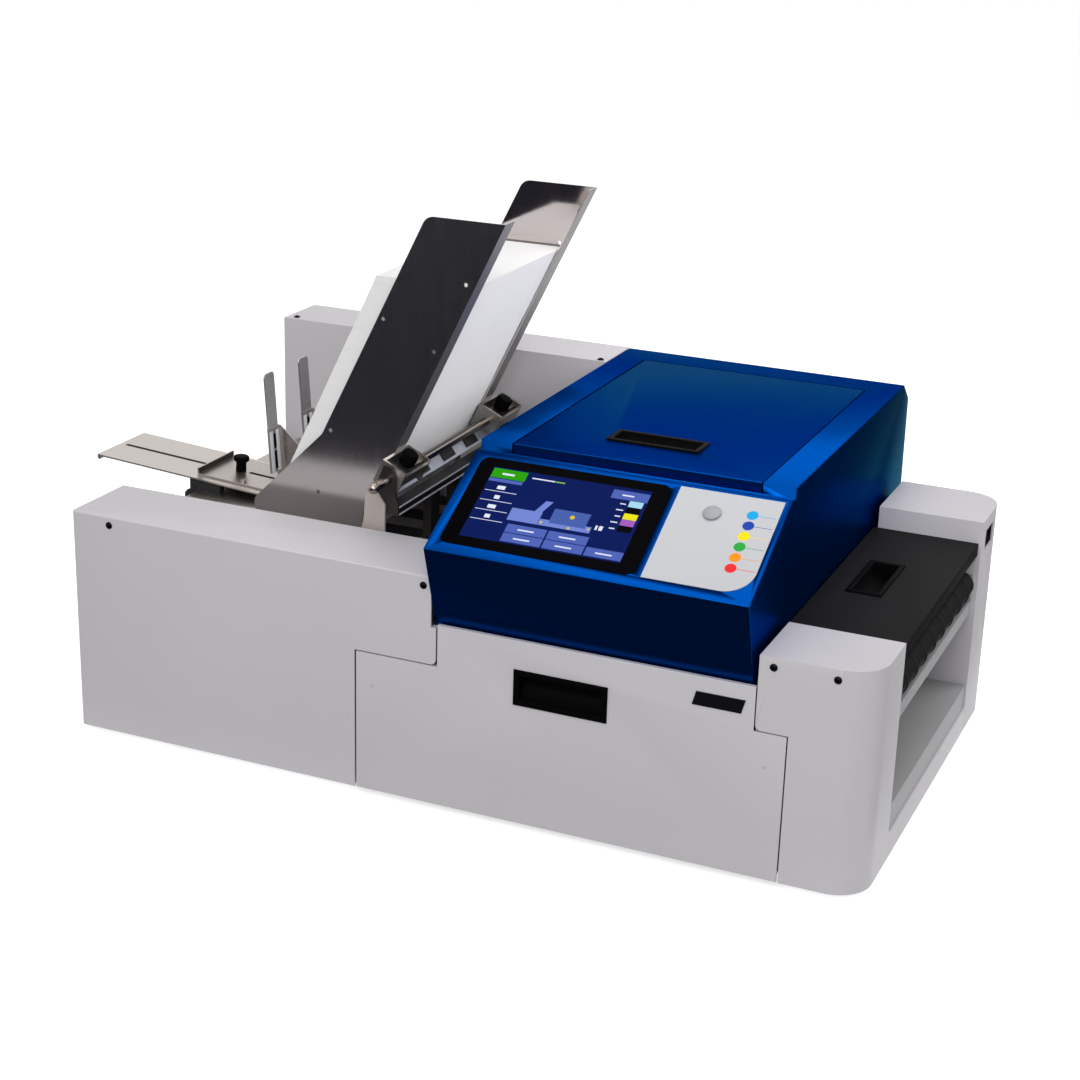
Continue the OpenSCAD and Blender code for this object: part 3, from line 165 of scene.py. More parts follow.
def fresh_tree(owner: bpy.types.Material | bpy.types.World) -> bpy.types.NodeTree:
    """Empties the node tree of a material or of the world.

    Args:
        owner: What the tree belongs to.

    Returns:
        The empty tree.
    """
    owner.use_nodes = True
    owner.node_tree.nodes.clear()
    return owner.node_tree


class Grain(Enum):
    """How a surface's fine pattern runs: its scale on each axis, small where drawn out into lines."""

    EVEN = (1.0, 1.0, 1.0)
    ALONG_X = (0.02, 1.0, 1.0)
    ALONG_Y = (1.0, 0.02, 1.0)
    ALONG_Z = (1.0, 1.0, 0.02)


@dataclass(frozen=True)
class Finish:
    """A real material and how its surface was made.

    Attributes:
        name: The material's common name.
        slot: The record's material slot that it belongs to; not used.
        colour: Its colour as sRGB hex.
        roughness: Mean roughness.
        metallic: 1 for bare metal, less under a film or a coat, 0 for the rest.
        spread: How far the roughness drifts to either side.
        grain_mm: Size of the fine pattern, drawn coarser than the real one where that wouldn't show.
        grain: The direction of the fine pattern.
        depth: Strength of the fine pattern's relief.
        tone: Share by which the colour drifts over the surface.
        tone_mm: Size of that drift.
        coat: Weight of a clear layer on top.
        gloss: Strength of the mirror part of a surface that isn't metal.
        edge: Colour that the mirror part keeps at low angles, as sRGB hex.
        light: Colour of the light that it gives off, for lit screens, as sRGB hex.
    """

    name: str
    slot: str
    colour: str
    roughness: float = 0.5
    metallic: float = 0.0
    spread: float = 0.05
    grain_mm: float = 1.5
    grain: Grain = Grain.EVEN
    depth: float = 0.05
    tone: float = 0.03
    tone_mm: float = 160.0
    coat: float = 0.0
    gloss: float = 0.4
    edge: str = WHITE
    light: str = ""

    def material(self) -> bpy.types.Material:
        """Makes the material, the first time that it is asked for.

        Returns:
            The material.
        """
        found = bpy.data.materials.get(self.name)
        if found:
            return found
        made = bpy.data.materials.new(self.name)
        tree = fresh_tree(made)
        where = add_node(tree, "ShaderNodeTexCoord").outputs["Object"]
        run = add_node(tree, "ShaderNodeMapping", {"Scale": self.grain.value}, {"Vector": where})
        fine = add_node(
            tree, "ShaderNodeTexNoise",
            {"Scale": 1 / (self.grain_mm * MM), "Detail": 3.0, "Roughness": 0.6},
            {"Vector": run.outputs["Vector"]},
        )
        broad = add_node(
            tree, "ShaderNodeTexNoise",
            {"Scale": 1 / (self.tone_mm * MM), "Detail": 4.0},
            {"Vector": where},
        )
        base = linear(self.colour)
        drift = add_node(tree, "ShaderNodeValToRGB", None, {"Fac": broad.outputs["Fac"]})
        stops = ((NOISE_LOW, 1 - self.tone), (NOISE_HIGH, 1 + self.tone))
        for stop, (place, share) in zip(drift.color_ramp.elements, stops):
            stop.color = (*(min(1.0, c * share) for c in base[:3]), 1.0)
            stop.position = place
        rough = add_node(
            tree, "ShaderNodeMapRange",
            {"From Min": NOISE_LOW, "From Max": NOISE_HIGH,
             "To Min": max(SMOOTHEST, self.roughness - self.spread),
             "To Max": min(1.0, self.roughness + self.spread)},
            {"Value": fine.outputs["Fac"]},
        )
        relief = add_node(
            tree, "ShaderNodeBump",
            {"Strength": self.depth, "Distance": self.grain_mm * MM},
            {"Height": fine.outputs["Fac"]},
        )
        surface = add_node(
            tree, "ShaderNodeBsdfPrincipled",
            {"Metallic": self.metallic, "Coat Weight": self.coat, "Coat Roughness": 0.06,
             "Specular IOR Level": self.gloss, "Specular Tint": linear(self.edge)},
            {"Base Color": drift.outputs["Color"], "Roughness": rough.outputs["Result"],
             "Normal": relief.outputs["Normal"]},
        )
        if self.light:
            surface.inputs["Emission Color"].default_value = linear(self.light)
            surface.inputs["Emission Strength"].default_value = 1.0
        add_node(tree, "ShaderNodeOutputMaterial", None, {"Surface": surface.outputs["BSDF"]})
        return made


# the CAD nodes that wear each finish
Wear = dict[Finish, tuple[str, ...]]

# Powder coat on sheet steel: an even satin skin with a faint orange peel.
COVER_COAT = Finish(
    "powder_coat_light_grey", "cover_coat", "#c0bdc1", 0.48, grain_mm=1.4, depth=0.05, tone=0.015,
)
# Deep blue coat with fine metal flake: bright towards the light, near black where it turns away.
HEAD_COAT = Finish(
    "flake_coat_deep_blue", "head_coat", "#003f8c", 0.32, 0.97, grain_mm=1.4, depth=0.03, tone=0.015,
    gloss=0.0, edge="#62a0a8",
)
# Charcoal powder coat: a little rougher, so that it stays dark at low angles.
CHARCOAL = Finish(
    "powder_coat_charcoal", "charcoal_coat", "#1a1819", 0.6, grain_mm=1.2, depth=0.08, gloss=0.05,
)
# Grey powder coat on the inner sheet metal: flat and plain.
LINER = Finish("powder_coat_mid_grey", "liner_coat", "#a2a2a4", 0.55, grain_mm=1.4)
# Zinc-plated sheet: dull metal with broad cloudy tones.
ZINC = Finish("zinc_plated_steel", "zinc_steel", "#b9bbbd", 0.38, 1.0, 0.08, 2.5, tone=0.1, tone_mm=60)
# Polished stainless sheet: near a mirror, with fine lines from the belt it was polished on. The real
# lines, well under a tenth of a millimetre, wouldn't show, so they are drawn coarser here and below.
STAINLESS = Finish(
    "polished_stainless_steel", "stainless", "#c9c4c2", 0.18, 1.0, 0.025, 2.0, Grain.ALONG_Z, 0.012,
    tone=0.02,
)
# Stainless strip, finely ground across: a soft grey sheen, with its lines drawn coarser too.
STAINLESS_STRIP = Finish(
    "ground_stainless_steel", "stainless", "#c4c3c6", 0.3, 1.0, 0.05, 0.7, Grain.ALONG_Y, 0.03, tone=0.02,
)
# Dark nickel on the gate's brackets: smoky metal with bright edges.
DARK_NICKEL = Finish(
    "dark_nickel_plated_steel", "stainless", "#a5a19d", 0.34, 1.0, 0.06, 1.2, tone=0.06, tone_mm=30,
)
# Burnished steel of the beam and its end plates: darker and duller.
BURNISHED = Finish(
    "burnished_dark_steel", "black_coat", "#3d3a38", 0.36, 0.8, 0.06, 1.0, tone=0.05, tone_mm=30,
)
# Lip of the carriage: a dark, dull copy of its stainless that paints shade on the lip.
PAINTED_LIP_SHADE = Finish(
    "stainless_painted_lip_shade", "stainless", "#37322f", 0.4, 0.7, 0.06, 1.0, tone=0.05, tone_mm=30,
)
# Folded edge of the guides: a darker, duller copy of their stainless, which paints on the darker reflection
# those edges show.
DARK_REFLECTION_EDGE = Finish(
    "stainless_painted_dark_reflection", "stainless", "#8d8987", 0.42, 0.7, 0.06, 1.0, tone=0.05, tone_mm=30,
)
# Inner face of a guide, polished to a mirror.
STAINLESS_MIRROR = Finish(
    "mirror_stainless_steel", "stainless", "#cbc4c2", 0.06, 1.0, 0.02, 0.9, Grain.ALONG_Z, 0.008, tone=0.01,
)
# Painted highlight: a pale grey with a faint metal sheen, bright from any side, laid where the beam's edges
# and the fingers' bars catch the light.
PAINTED_HIGHLIGHT = Finish("pale_painted_highlight", "stainless", "#dfe0e4", 0.45, 0.2, 0.05, 1.0, tone=0.02)
# Oiled steel rod: a brownish grey metal, ground along its length.
OILED_STEEL = Finish(
    "oiled_ground_steel", "bright_steel", "#968c85", 0.2, 1.0, 0.04, 0.5, Grain.ALONG_X, 0.02,
)
# White gloss coat of the gate, with a cool tint painted into its white for the cool light of the room.
GATE_COAT = Finish("white_gloss_coat_painted_cool_light", "liner_coat", "#e3e7f0", 0.3, grain_mm=1.0, depth=0.02, tone=0.01)
# Warm grey powder coat on the feeder's side plates: satin.
FRAME_COAT = Finish("powder_coat_warm_grey", "liner_coat", "#a99f9a", 0.5, grain_mm=1.2, tone=0.03)
# Brushed stainless lying flat, with its lines along the paper path: a broad even glow.
STAINLESS_FLAT = Finish(
    "brushed_stainless_steel", "stainless", "#b3aca7", 0.32, 1.0, 0.06, 0.8, Grain.ALONG_X, 0.03, tone=0.03,
)
# A paler, slightly rougher copy of the same brushed sheet: painted lighter for the tray, as a lit copy.
STAINLESS_PAINTED_LIGHTER = Finish(
    "stainless_painted_lighter", "stainless", "#c6bfba", 0.36, 1.0, 0.06, 0.8, Grain.ALONG_X, 0.03, tone=0.02,
)
# Ground steel pin: bright, with fine marks along its length.
BRIGHT_STEEL = Finish("ground_steel", "bright_steel", "#d4d5d6", 0.12, 1.0, 0.04, 0.5, Grain.ALONG_X, 0.02)
# Black oxide on screws: dark with a dull sheen.
BLACK_OXIDE = Finish("black_oxide_steel", "black_screw", "#161618", 0.4, 1.0, 0.1, 0.6)
# Matt black powder coat on brackets and rails: dark and without sheen.
BLACK_COAT = Finish("powder_coat_matt_black", "black_coat", "#17171a", 0.6, grain_mm=1.1, depth=0.1)
# Moulded ABS with a fine spark texture: a dead black.
BLACK_ABS = Finish("moulded_abs_black", "black_plastic", "#070708", 0.5, grain_mm=0.8, depth=0.12, gloss=0.02)
# Smoked acrylic: a clear gloss over a dark body.
SMOKED = Finish("smoked_acrylic", "badge_plastic", "#0c0d12", 0.18, coat=1.0, depth=0.0)
# Printed polyester film over the keys: pale, smooth and slightly pearly.
KEY_FILM = Finish("printed_polyester_film", "key_film", "#b3b4b8", 0.4, grain_mm=0.6, depth=0.02, tone=0.01)
# Lacquered ABS of the button: grey under a thin clear gloss.
BUTTON_CAP = Finish("lacquered_abs_grey", "button_plastic", "#8d9096", 0.3, coat=0.4, depth=0.01)
# Toughened glass with a black printed back: smooth and deep black.
SCREEN_GLASS = Finish(
    "black_backed_glass", "screen_glass", "#020204", 0.12, spread=0.02, depth=0.0, gloss=0.01,
)
# Moulded ABS shell behind the glass: a dull dark grey.
SCREEN_BODY = Finish("moulded_abs_dark_grey", "screen_body", "#2a2b2e", 0.6)
# Solder mask on a circuit board: green, with tones from the copper under it.
BOARD = Finish("solder_mask_green", "board", "#0f5a33", 0.35, tone=0.15, tone_mm=12, depth=0.05)
# Nitrile rubber: dull, dark and a little uneven.
RUBBER = Finish("nitrile_rubber_black", "black_rubber", "#1b1b1d", 0.75, grain_mm=0.9, depth=0.15, gloss=0.25)
# Ground rubber sleeve of a roller: as dark, and a little smoother.
ROLLER_RUBBER = Finish(
    "ground_rubber_dark_grey", "black_rubber", "#1c1b1c", 0.62, grain_mm=0.8, depth=0.1, gloss=0.08,
)
# Polypropylene housing of the ink tanks: a waxy dark grey.
TANK = Finish("moulded_polypropylene_grey", "tank_plastic", "#3b3d41", 0.45)
# Uncoated wove envelope paper: a plain, dull white with a soft fibre.
PAPER = Finish(
    "uncoated_wove_paper", "envelope_paper", "#e7e6e6", 0.9, grain_mm=0.7, depth=0.06, tone=0.01, gloss=0.1,
)


def lit(name: str, colour: str) -> Finish:
    """A part of the screen's picture, which gives off its own light behind a smooth face."""
    return Finish(
        f"lit_screen_{name}", "screen_glass", "#000000", 0.3, spread=0.0, depth=0.0, tone=0.0, gloss=0.01,
        light=colour,
    )


def ink(name: str, colour: str) -> Finish:
    """Screen-printed ink on film or plastic: flat and even."""
    return Finish(
        f"printed_ink_{name}", "key_film", colour, 0.45, spread=0.02, depth=0.0, tone=0.0, gloss=0.06,
    )


def dress(obj: bpy.types.Object, finish: Finish) -> None:
    """Gives a piece one finish.

    Args:
        obj: The piece.
        finish: What it is made of.
    """
    obj.data.materials.clear()
    obj.data.materials.append(finish.material())


def smooth(mesh: bpy.types.Mesh, degrees: float = 32.0) -> None:
    """Shades a mesh smooth, with its real edges kept sharp."""
    mesh.shade_smooth()
    mesh.set_sharp_from_angle(angle=math.radians(degrees))


def drawn_in(outline: Outline, inset: float) -> list[Spot]:
    """Outline with every side moved inwards.

    Args:
        outline: Points listed anticlockwise.
        inset: How far each side moves.

    Returns:
        The moved points, one for each point of the outline.
    """
    moved: list[Spot] = []
    count = len(outline)
    for i in range(count):
        a, b, c = (Vector(outline[(i + k) % count]) for k in (-1, 0, 1))
        u = (b - a).normalized()
        v = (c - b).normalized()
        n1 = Vector((-u.y, u.x))
        n2 = Vector((-v.y, v.x))
        # a floor keeps the point of a very sharp corner from running away
        spread = max(0.2, 1 + n1.dot(n2))
        p = b + (n1 + n2) * (inset / spread)
        moved.append((p.x, p.y))
    return moved


def soft_rect(x: float, y: float, w: float, h: float, r: float = 0.0, steps: int = 5) -> list[Spot]:
    """Rectangle, with rounded corners where a radius is given.

    Args:
        x: Its left side.
        y: Its lower side.
        w: Its width.
        h: Its height.
        r: Radius of its corners.
        steps: Sides that each rounded corner is drawn with.

    Returns:
        Its points, anticlockwise.
    """
    if r <= 0:
        return [(x, y), (x + w, y), (x + w, y + h), (x, y + h)]
    left, right, low, high = x + r, x + w - r, y + r, y + h - r
    corners = ((right, low, -90), (right, high, 0), (left, high, 90), (left, low, 180))
    turns = [(cx, cy, math.radians(a + 90 * i / steps)) for cx, cy, a in corners for i in range(steps + 1)]
    return [(cx + r * math.cos(turn), cy + r * math.sin(turn)) for cx, cy, turn in turns]


def disc(x: float, y: float, r: float, steps: int = 24) -> list[Spot]:
    """Round outline about a centre."""
    turns = [math.tau * i / steps for i in range(steps)]
    return [(x + r * math.cos(turn), y + r * math.sin(turn)) for turn in turns]


@dataclass(frozen=True)
class Turning:
    """A form that is turned about its axis.

    Attributes:
        profile: Radius and height of each ring, from below.
        steps: Points in each ring.
        teeth: Grooves cut down the widest rings.
    """

    profile: Outline
    steps: int
    teeth: int = 0


class Shape:
    """Geometry of one piece while it is being built, in a local frame's millimetres.

    Attributes:
        bm: The mesh so far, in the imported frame's metres.
        to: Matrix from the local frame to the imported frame.
    """

    # share of a bevel's width at which it turns from steep to flat
    KNEE: ClassVar[float] = 0.3
    # only rings wider than this share of the widest one are grooved, and to this depth
    GROOVED: ClassVar[float] = 0.9
    GROOVE: ClassVar[float] = 0.5

    def __init__(self, to: Matrix = MACHINE) -> None:
        """Starts an empty mesh in a frame."""
        self.bm = bmesh.new()
        self.to = to

    def loft(self, rings: Sequence[Sequence[Point]], hollow: bool = False) -> None:
        """Joins rings of equally many points into a closed solid.

        Args:
            rings: The rings in order.
            hollow: Joins the last ring to the first, round a hole, where both ends would be closed.
        """
        made = [[self.bm.verts.new(self.to @ Vector(p)) for p in ring] for ring in rings]
        count = len(made[0])
        for low, high in zip(made, made[1:] + (made[:1] if hollow else [])):
            for i in range(count):
                j = (i + 1) % count
                self.bm.faces.new((low[i], low[j], high[j], high[i]))
        if not hollow:
            self.bm.faces.new(list(reversed(made[0])))
            self.bm.faces.new(made[-1])

    def prism(self, outline: Outline, low: float, high: float, ease: float = 0.0) -> None:
        """Raises an outline into a solid, with its upper edge eased.

        Args:
            outline: Points listed anticlockwise.
            low: Height of its lower face.
            high: Height of its upper face.
            ease: Width of the bevel round the upper face.
        """
        rings = [[(x, y, low) for x, y in outline]]
        if ease:
            knee = self.KNEE * ease
            rings.append([(x, y, high - ease) for x, y in outline])
            rings.append([(x, y, high - knee) for x, y in drawn_in(outline, knee)])
            rings.append([(x, y, high) for x, y in drawn_in(outline, ease)])
        else:
            rings.append([(x, y, high) for x, y in outline])
        self.loft(rings)

    def lathe(self, form: Turning, centre: Spot = (0.0, 0.0)) -> None:
        """Turns a form about an upright axis.

        Args:
            form: What is turned.
            centre: Where the axis stands.
        """
        widest = max(r for r, _ in form.profile)
        rings: list[list[Point]] = []
        for radius, height in form.profile:
            depth = self.GROOVE if form.teeth and radius > self.GROOVED * widest else 0.0
            ring: list[Point] = []
            for i in range(form.steps):
                turn = math.tau * i / form.steps
                r = radius - depth * (0.5 + 0.5 * math.cos(form.teeth * turn))
                ring.append((centre[0] + r * math.cos(turn), centre[1] + r * math.sin(turn), height))
            rings.append(ring)
        self.loft(rings)

    def piece(self, name: str, body: str, finish: Finish, *stands_for: str) -> None:
        """Turns the geometry into a piece that rides on a body.

        Args:
            name: The piece's name.
            body: The CAD body that carries it.
            finish: What it is made of.
            *stands_for: CAD nodes that it takes the place of.
        """
        mesh = bpy.data.meshes.new(name)
        self.bm.normal_update()
        self.bm.to_mesh(mesh)
        self.bm.free()
        smooth(mesh)
        obj = bpy.data.objects.new(name, mesh)
        bpy.context.scene.collection.objects.link(obj)
        dress(obj, finish)
        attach(obj, body)
        if stands_for:
            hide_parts(*stands_for)
        LOG.info("piece %s: %d faces on %s", name, len(mesh.polygons), body)


@dataclass(frozen=True)
class Plate:
    """A flat plate in a local frame.

    Attributes:
        corner: Its lower left corner.
        size: Its width and length.
        z: Height of its lower and upper face.
        r: Radius of its corners.
        ease: Width of the bevel round its upper face.
        steps: Sides that each rounded corner is drawn with.
    """

    corner: Spot
    size: Spot
    z: Spot
    r: float = 0.0
    ease: float = 0.0
    steps: int = 5

    def lay(self, shape: Shape, right: float = 0.0, back: float = 0.0) -> None:
        """Adds the plate to a shape, moved to the right and to the back."""
        x, y = self.corner
        shape.prism(soft_rect(x + right, y + back, *self.size, self.r, self.steps), *self.z, self.ease)


class Side(Enum):
    """Outer faces of a CAD node's box: axis, and 0 for the low or 1 for the high side."""

    LEFT = (0, 0)
    RIGHT = (0, 1)
    FRONT = (1, 0)
    TOP = (2, 1)


def lies_at(edge: bmesh.types.BMEdge, place: dict[int, float]) -> bool:
    """Says whether both ends of an edge lie at the given places along the given axes."""
    return all(abs(v.co[axis] - level) < TOUCH for v in edge.verts for axis, level in place.items())


def eased(
    node: str,
    body: str,
    finish: Finish,
    width: float,
    sides: Sequence[Side],
    shortest: float = 0.0,
    nose: dict[int, float] | None = None,
) -> None:
    """Copies a CAD node with its outer edges rounded, as folded or moulded edges are.

    Args:
        node: The node to copy and stand in for.
        body: The CAD body that carries it.
        finish: What it is made of.
        width: Width of the rounding in millimetres.
        sides: Outer faces of the node's box whose sharp convex edges are rounded.
        shortest: Edges in those faces below this length in millimetres stay sharp.
        nose: Place of one more edge to round, by axis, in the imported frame.
    """
    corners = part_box(node)
    places = [{axis: corners[end][axis]} for axis, end in (side.value for side in sides)]
    shape = Shape()
    bm = shape.bm
    bm.from_mesh(frame["nodes"][node].data)
    bmesh.ops.remove_doubles(bm, verts=bm.verts, dist=WELD)
    bmesh.ops.dissolve_limit(
        bm, angle_limit=ONE_FACE, verts=bm.verts, edges=bm.edges, use_dissolve_boundaries=False,
    )
    bm.normal_update()
    sharp = [e for e in bm.edges if e.is_manifold and e.calc_face_angle_signed(0) > REAL_EDGE]
    outer = [
        e for e in sharp
        if (nose and lies_at(e, nose))
        or (e.calc_length() >= shortest * MM and any(lies_at(e, place) for place in places))
    ]
    bmesh.ops.bevel(
        bm, geom=outer, offset=width * MM, segments=3, profile=0.5, affect="EDGES", clamp_overlap=True,
    )
    shape.piece(f"{node}_skin", body, finish, node)


class SubAssembly:
    """A group of pieces that is built and dressed together."""

    finishes: ClassVar[Wear] = {}

    def dress(self) -> None:
        """Gives every CAD node of the group its finish."""
        for finish, nodes in self.finishes.items():
            for node in nodes:
                dress(frame["nodes"][node], finish)
        LOG.info("%s: dressed %d nodes", type(self).__name__, sum(map(len, self.finishes.values())))

    def build(self) -> None:
        """Makes the group's own pieces."""


@dataclass
class Covers(SubAssembly):
    """Light-grey covers, the front door, the end sill and the base.

    Attributes:
        fold: Rounding of the folded edges.
        door_fold: Rounding of the door's edges.
        dimple: Form of a small rivet dimple on the door.
        dimples: Places of those dimples across the front.
        flange_x: Inner and outer face of the flange that closes the front of the bay floor.
        flange_y: Its ends.
        flange_z: Top of the sill and underside of the bay floor.
    """

    finishes: ClassVar[Wear] = {
        COVER_COAT: (
            "front_left_cover", "front_right_cover", "rear_cover", "rear_right_cover", "rear_panel",
            "left_end_panel", "end_sill", "front_door",
        ),
        LINER: ("bay_liner",),
        ZINC: ("base_pan",),
        BLACK_OXIDE: ("cover_screws",),
        BRIGHT_STEEL: ("hinge_pins",),
        SMOKED: ("door_badge",),
        BLACK_ABS: ("door_grip",),
        RUBBER: ("rubber_feet",),
    }

    fold: float = 1.8
    door_fold: float = 0.9
    dimple: Turning = Turning(((1.8, -0.4), (1.8, 0.15), (1.08, 0.05), (0.54, -0.2)), 20)
    dimples: tuple[Spot, Spot] = ((379.7, 124.1), (820.8, 124.2))
    flange_x: Spot = (926.2, 927.8)
    flange_y: Spot = (97.2, 447.8)
    flange_z: Spot = (29.0, 58.0)

    def build(self) -> None:
        """Rounds the folded edges, adds the dimples with painted shade in them and closes the front of the
        bay floor.
        """
        for node in ("front_left_cover", "rear_cover"):
            eased(node, "chassis", COVER_COAT, self.fold, (Side.TOP,))
        for node in ("front_right_cover", "rear_right_cover"):
            eased(node, "chassis", COVER_COAT, self.fold, (Side.TOP, Side.LEFT, Side.RIGHT), SHORT_EDGE)
        eased("front_door", "door", COVER_COAT, self.door_fold, (Side.FRONT,))
        eased("door_grip", "door", BLACK_ABS, GRIP_EASE, (Side.FRONT,))
        for i, (x, z) in enumerate(self.dimples):
            shape = Shape(local((x, 0.0, z), "X", 90.0))
            shape.lathe(self.dimple)
            # the dimples take the darker liner grey: painted shade in their hollows
            shape.piece(f"painted_shade_rivet_dimple_{i}", "door", LINER)
        (x0, x1), (y0, y1) = self.flange_x, self.flange_y
        shape = Shape()
        shape.prism(soft_rect(x0, y0, x1 - x0, y1 - y0), *self.flange_z)
        shape.piece("bay_floor_flange", "chassis", LINER)


@dataclass
class Head(SubAssembly):
    """Blue head with its lid.

    Attributes:
        fold: Rounding of the folded edges.
        lid_fold: Rounding of the lid's edges.
        nose: Distance from the front and height of the edge along the console's nose.
        side_x: The head's right-hand face.
        vents: Middle of each group of vent holes on that face: distance from the front, height.
        vent_spots: Place of each hole in its group.
        shade_disc_r: Radius of the black disc that paints shade into a hole.
        shade_disc_x: Inner and outer face of that disc, from the head's face.
    """

    finishes: ClassVar[Wear] = {
        HEAD_COAT: ("head_housing", "head_lid"),
        BLACK_ABS: ("lid_grip",),
    }

    fold: float = 1.4
    lid_fold: float = 0.8
    nose: Spot = (-22.6, 301.0)
    side_x: float = 801.0
    vents: tuple[Spot, Spot] = ((251.0, 240.0), (348.0, 240.0))
    vent_spots: Outline = ((0.0, 15.0), (5.0, 8.0), (-16.0, 8.0), (7.0, 0.0), (-18.0, 0.0))
    shade_disc_r: float = 2.45
    shade_disc_x: Spot = (-1.0, -0.25)

    def vent_painted_shade(self) -> None:
        """Paints shade into the vent holes, with a black disc just inside each one."""
        shape = Shape()
        for y, z in self.vents:
            for across, up in self.vent_spots:
                shape.to = local((self.side_x, y + across, z + up), "Y", 90.0)
                shape.prism(disc(0.0, 0.0, self.shade_disc_r), *self.shade_disc_x)
        # painted shade: black discs inside the vent holes
        shape.piece("vent_painted_shade", "chassis", BLACK_ABS)

    def build(self) -> None:
        """Rounds the folded edges and paints shade into the vents."""
        tip = at(0.0, *self.nose)
        eased(
            "head_housing", "chassis", HEAD_COAT, self.fold, (Side.LEFT, Side.RIGHT), SHORT_EDGE,
            {1: tip.y, 2: tip.z},
        )
        eased("head_lid", "lid", HEAD_COAT, self.lid_fold, (Side.TOP,))
        eased("lid_grip", "lid", BLACK_ABS, GRIP_EASE, (Side.TOP,))
        self.vent_painted_shade()


